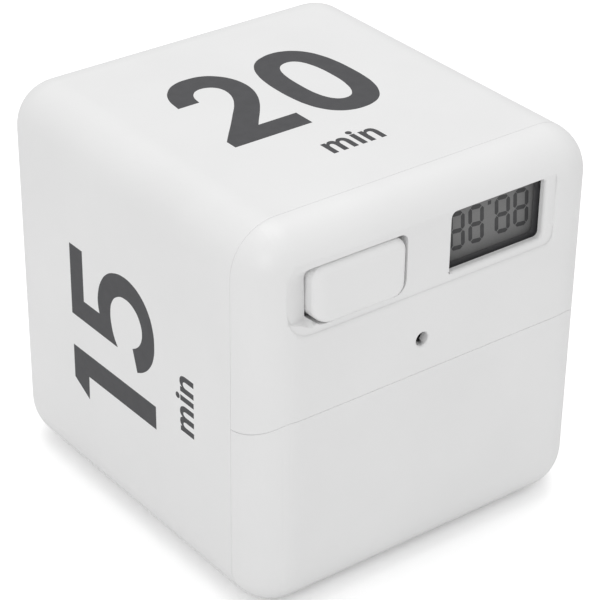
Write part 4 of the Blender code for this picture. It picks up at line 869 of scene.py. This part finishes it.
LETTER_M = [
    (0, 0, 1), (0, 3.3, 1), (0.78, 3.3, 1), (0.84, 2.9, 1), (1.15, 3.28, 0), (1.6, 3.43, 0),
    (2.12, 3.28, 0), (2.42, 2.85, 1), (2.77, 3.28, 0), (3.27, 3.43, 0), (3.97, 3.18, 0),
    (4.4, 2.35, 0), (4.43, 2.0, 1), (4.43, 0, 1), (3.54, 0, 1), (3.54, 2.0, 1), (3.42, 2.43, 0),
    (3.1, 2.62, 0), (2.8, 2.43, 0), (2.66, 2.0, 1), (2.66, 0, 1), (1.77, 0, 1), (1.77, 2.0, 1),
    (1.66, 2.43, 0), (1.35, 2.62, 0), (1.03, 2.43, 0), (0.89, 1.95, 1), (0.89, 0, 1),
]
LETTER_N = [
    (0, 0, 1), (0, 3.3, 1), (0.78, 3.3, 1), (0.84, 2.9, 1), (1.2, 3.28, 0), (1.7, 3.43, 0),
    (2.42, 3.18, 0), (2.8, 2.35, 0), (2.83, 2.0, 1), (2.83, 0, 1), (1.94, 0, 1), (1.94, 2.0, 1),
    (1.82, 2.43, 0), (1.45, 2.62, 0), (1.05, 2.43, 0), (0.89, 1.95, 1), (0.89, 0, 1),
]
STEM = [(-0.445, 0, 1), (-0.445, 3.3, 1), (0.445, 3.3, 1), (0.445, 0, 1)]


# %% The word for minutes, and the four prints
WORD_M_LEFT, WORD_N_LEFT = -5.57, 1.05
DOT_HEIGHT, DOT_RADIUS = 3.95, 0.5
WORD_PLACE, WORD_PLACE_15 = (-0.15, -16.5), (-1.03, -17.35)


def shifted(loops, x, z):
    """The same outlines somewhere else."""
    return [[(px + x, pz + z, corner) for px, pz, corner in loop] for loop in loops]


def unit_word(x, z):
    """The small word under a number; x is the middle of its i."""
    dot = oval(0, DOT_HEIGHT, DOT_RADIUS, DOT_RADIUS, fullness=2, count=12)
    letter_m = shifted([LETTER_M], x + WORD_M_LEFT, z)
    letter_n = shifted([LETTER_N], x + WORD_N_LEFT, z)
    return letter_m + shifted([STEM, dot], x, z) + letter_n


# Name, outlines, reading direction, and the place on the cube that the outlines start from.
side, top = housing_high.x, housing_high.z
PRINTS = (
    ("print_20", TWO + ZERO + unit_word(*WORD_PLACE), (1, 0, 0), (0, 0, top)),
    ("print_15", ONE + FIVE + unit_word(*WORD_PLACE_15), (0, 0, 1), (-side, 0, top / 2)),
    ("print_30", THREE + ZERO + unit_word(*WORD_PLACE), (0, 0, -1), (side, 0, top / 2)),
    ("print_60", SIX + ZERO + unit_word(*WORD_PLACE), (-1, 0, 0), (0, 0, 0)),
)
print("prints:", [name for name, *_ in PRINTS])

# %% [markdown]
# The outlines become a filled curve, which Blender can give a thickness, and then a mesh,
# because only a mesh can carry its place in its points. On all four faces the figures' upper
# ends point to the back of the cube.

# %% Printing on the faces
INK_THICKNESS = 0.012 * MM
CURVE_STEPS = 6
FIGURES_UP = Vector((0, 1, 0))


def printed(name, loops, across, place):
    """Filled outlines as a film of ink; `across` is the reading direction on the face."""
    curve = bpy.data.curves.new(name, "CURVE")
    curve.dimensions = "2D"
    curve.fill_mode = "BOTH"
    curve.extrude = INK_THICKNESS / 2
    curve.resolution_u = CURVE_STEPS
    for loop in loops:
        line = curve.splines.new("BEZIER")
        line.bezier_points.add(len(loop) - 1)
        line.use_cyclic_u = True
        for knot, (x, z, corner) in zip(line.bezier_points, loop):
            knot.co = (x * MM, z * MM, 0)
            knot.handle_left_type = knot.handle_right_type = "VECTOR" if corner else "AUTO"
    holder = bpy.data.objects.new(name + "_outline", curve)
    bpy.context.scene.collection.objects.link(holder)
    bpy.context.view_layer.update()
    filled = bpy.data.meshes.new_from_object(holder)
    bpy.data.objects.remove(holder)
    bpy.data.curves.remove(curve)
    bm = bmesh.new()
    bm.from_mesh(filled)
    bpy.data.meshes.remove(filled)
    bmesh.ops.remove_doubles(bm, verts=bm.verts, dist=SAME_POINT)
    turn = Matrix((across, FIGURES_UP, across.cross(FIGURES_UP))).transposed().to_4x4()
    bm.transform(Matrix.Translation(place) @ turn)
    return object_from(name, bm, ink)


for name, loops, across, place in PRINTS:
    piece = printed(name, loops, Vector(across), place)
    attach(piece, "case")
    print(name, len(piece.data.polygons), "faces")

# %% [markdown]
# ## Display segments
#
# Four seven-segment figures and a dot, all at rest, so they show only as a slightly darker
# film. They could be painted on the display, but thin faces just in front of it keep sharp
# edges from any distance. The figures lean a little, as such figures do. Places are measured
# from the middle of the cube across the front.

# %% Segments
SEGMENT = 0.7 * MM
BAR_GAP_SHARE = 0.12
DOT_SHARE = 0.45
FILM_LIFT = 0.006 * MM
FIGURE_WIDTH = 2.2 * MM
FIGURE_HEIGHT = 5.5 * MM
FIGURE_MIDDLE = 21.0 * MM
FIGURE_LEFTS = (4.65 * MM, 8.2 * MM, 13.1 * MM, 16.6 * MM)
FIGURE_LEAN = -0.07
BAR_LEAN = -0.1
DOT_PLACE = (11.6 * MM, 23.65 * MM)

film_y = corners_of("lcd_glass")[0].y - FILM_LIFT


def bar(bm, x0, z0, x1, z1):
    """One pointed bar of a figure, between two joints of its middle line."""
    start, end = Vector((x0, z0)), Vector((x1, z1))
    along = (end - start).normalized()
    beside = Vector((-along.y, along.x)) * SEGMENT / 2
    start += along * SEGMENT * BAR_GAP_SHARE
    end -= along * SEGMENT * BAR_GAP_SHARE
    tip = along * SEGMENT / 2
    upper = (start + tip + beside, end - tip + beside)
    lower = (end - tip - beside, start + tip - beside)
    bm.faces.new([bm.verts.new((c.x, film_y, c.y)) for c in (start, *upper, end, *lower)])


segments = bmesh.new()
middle_z = top / 2 + FIGURE_MIDDLE
low, high = middle_z - FIGURE_HEIGHT / 2, middle_z + FIGURE_HEIGHT / 2
for left in FIGURE_LEFTS:
    right = left + FIGURE_WIDTH
    for x0, z0, x1, z1 in (
        (left, high, right, high),
        (left, middle_z, right, middle_z),
        (left, low, right, low),
        (left, low, left, middle_z),
        (left, middle_z, left, high),
        (right, low, right, middle_z),
        (right, middle_z, right, high),
    ):
        ends = []
        for x, z in ((x0, z0), (x1, z1)):
            ends.append(x + FIGURE_LEAN * (z - middle_z))
            ends.append(z + BAR_LEAN * (x - left - FIGURE_WIDTH / 2))
        bar(segments, *ends)

dot_x, dot_z = DOT_PLACE[0], top / 2 + DOT_PLACE[1]
r = SEGMENT * DOT_SHARE
dot = [(dot_x + dx, film_y, dot_z + dz) for dx, dz in ((-r, -r), (r, -r), (r, r), (-r, r))]
segments.faces.new([segments.verts.new(corner) for corner in dot])
bmesh.ops.recalc_face_normals(segments, faces=segments.faces)
for face in segments.faces:
    if face.normal.y > 0:
        face.normal_flip()
segment_piece = object_from("lcd_segments", segments, segment_grey)
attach(segment_piece, "case")
print("segments:", len(segment_piece.data.polygons))

# %% [markdown]
# ## Camera, light and floor
#
# The camera stands above and to the left of the front, at the photograph's angle. Its angles are
# turned into three directions, which place it more exactly than a constraint that tracks a
# target and leave room for a slight roll. The lens shift only frames the picture.

# %% Camera
AZIMUTH, ELEVATION, ROLL = math.radians(-36.51), math.radians(31.86), math.radians(0.19)
DISTANCE = 5.637 * HEIGHT
AIM_LEFT, AIM_BELOW = 0.075 * HEIGHT, 0.169 * HEIGHT
SENSOR_WIDTH, FOCAL_LENGTH = 36, 137.622
SHIFT_X, SHIFT_Y = 0.062, 0.09117
CLIP_START = 10 * MM

reach = math.cos(ELEVATION)
back = Vector((math.sin(AZIMUTH) * reach, -math.cos(AZIMUTH) * reach, math.sin(ELEVATION)))
right = (-back).cross(Vector((0, 0, 1))).normalized()
upward = right.cross(-back)
target = Vector((0, 0, HEIGHT / 2)) - AIM_LEFT * right - AIM_BELOW * upward
rolled_right = right * math.cos(ROLL) + upward * math.sin(ROLL)
rolled_up = upward * math.cos(ROLL) - right * math.sin(ROLL)
lens = bpy.data.cameras.new("studio_camera")
lens.sensor_width = SENSOR_WIDTH
lens.lens = FOCAL_LENGTH
lens.shift_x = SHIFT_X
lens.shift_y = SHIFT_Y
lens.clip_start = CLIP_START
camera = bpy.data.objects.new("studio_camera", lens)
bpy.context.scene.collection.objects.link(camera)
turn = Matrix((rolled_right, rolled_up, back)).transposed().to_4x4()
camera.matrix_world = Matrix.Translation(target + back * DISTANCE) @ turn
bpy.context.scene.camera = camera
print("camera:", [round(v, 4) for v in camera.matrix_world.translation])

# %% [markdown]
# The studio is bright all round, with a soft light on the camera's side, a larger one overhead
# and a weak one on the right. Large square lamps give the soft shadow edges of a light tent,
# and leave the white plastic below pure white, so its edges can still be read.

# %% Lamps
LAMP_AIM = Vector((0, 0, 0.03))
# Name, place in metres, power in watts and size in metres.
LAMPS = (
    ("softbox_left", (-0.75, -0.55, 0.6), 1.89, 0.45),
    ("softbox_overhead", (0.1, 0.15, 0.9), 2.94, 0.7),
    ("softbox_right", (0.45, -0.9, 0.25), 0.24, 0.5),
)

for name, place, power, size in LAMPS:
    light = bpy.data.lights.new(name, "AREA")
    light.energy = power
    light.size = size
    holder = bpy.data.objects.new(name, light)
    bpy.context.scene.collection.objects.link(holder)
    turn = (LAMP_AIM - Vector(place)).to_track_quat("-Z", "Y").to_matrix().to_4x4()
    holder.matrix_world = Matrix.Translation(place) @ turn
    print(name, power, "W")

# %% [markdown]
# The background is white, but light as strong as white paper would flood the cube. The camera's
# rays are therefore told apart: they see a white world and brighter paper, and everything else
# gets the plain level of the studio. The floor still keeps the cube's shadow.

# %% Surroundings and floor
WORLD_LEVEL = 0.614
PAPER_SEEN = 1.3
PAPER_HALF_SIZE = 2.0
FLOOR_DROP = 0.02 * MM

world = bpy.data.worlds.new("white_studio")
bpy.context.scene.world = world
world.use_nodes = True
sky = world.node_tree
sky.nodes.clear()
ray = add(sky, "LightPath").outputs["Is Camera Ray"]
strength = add(sky, "MapRange", {"Value": ray, "To Min": WORLD_LEVEL, "To Max": 1.0})
white = {"Color": (1, 1, 1, 1), "Strength": strength.outputs["Result"]}
add(sky, "OutputWorld", {"Surface": add(sky, "Background", white).outputs[0]})

material, tree, place = start_material("studio_paper")
fibres = noise(tree, place, 0.8 * MM, 4.0)
is_seen = add(tree, "LightPath").outputs["Is Camera Ray"]
paper = tones(tree, fibres, "F6F6F6", "F9F9F9")
seen = mix_colours(tree, is_seen, paper, (PAPER_SEEN, PAPER_SEEN, PAPER_SEEN, 1))
matt = add(tree, "BsdfDiffuse", {"Color": seen, "Normal": bump(tree, fibres, 0.01 * MM)})
add(tree, "OutputMaterial", {"Surface": matt.outputs[0]})

sheet = bmesh.new()
bmesh.ops.create_grid(sheet, x_segments=1, y_segments=1, size=PAPER_HALF_SIZE)
floor = object_from("floor", sheet, material)
floor.location.z = -FLOOR_DROP
bpy.context.scene.view_settings.view_transform = "Standard"
print("world level", WORLD_LEVEL, "and floor", floor.name)
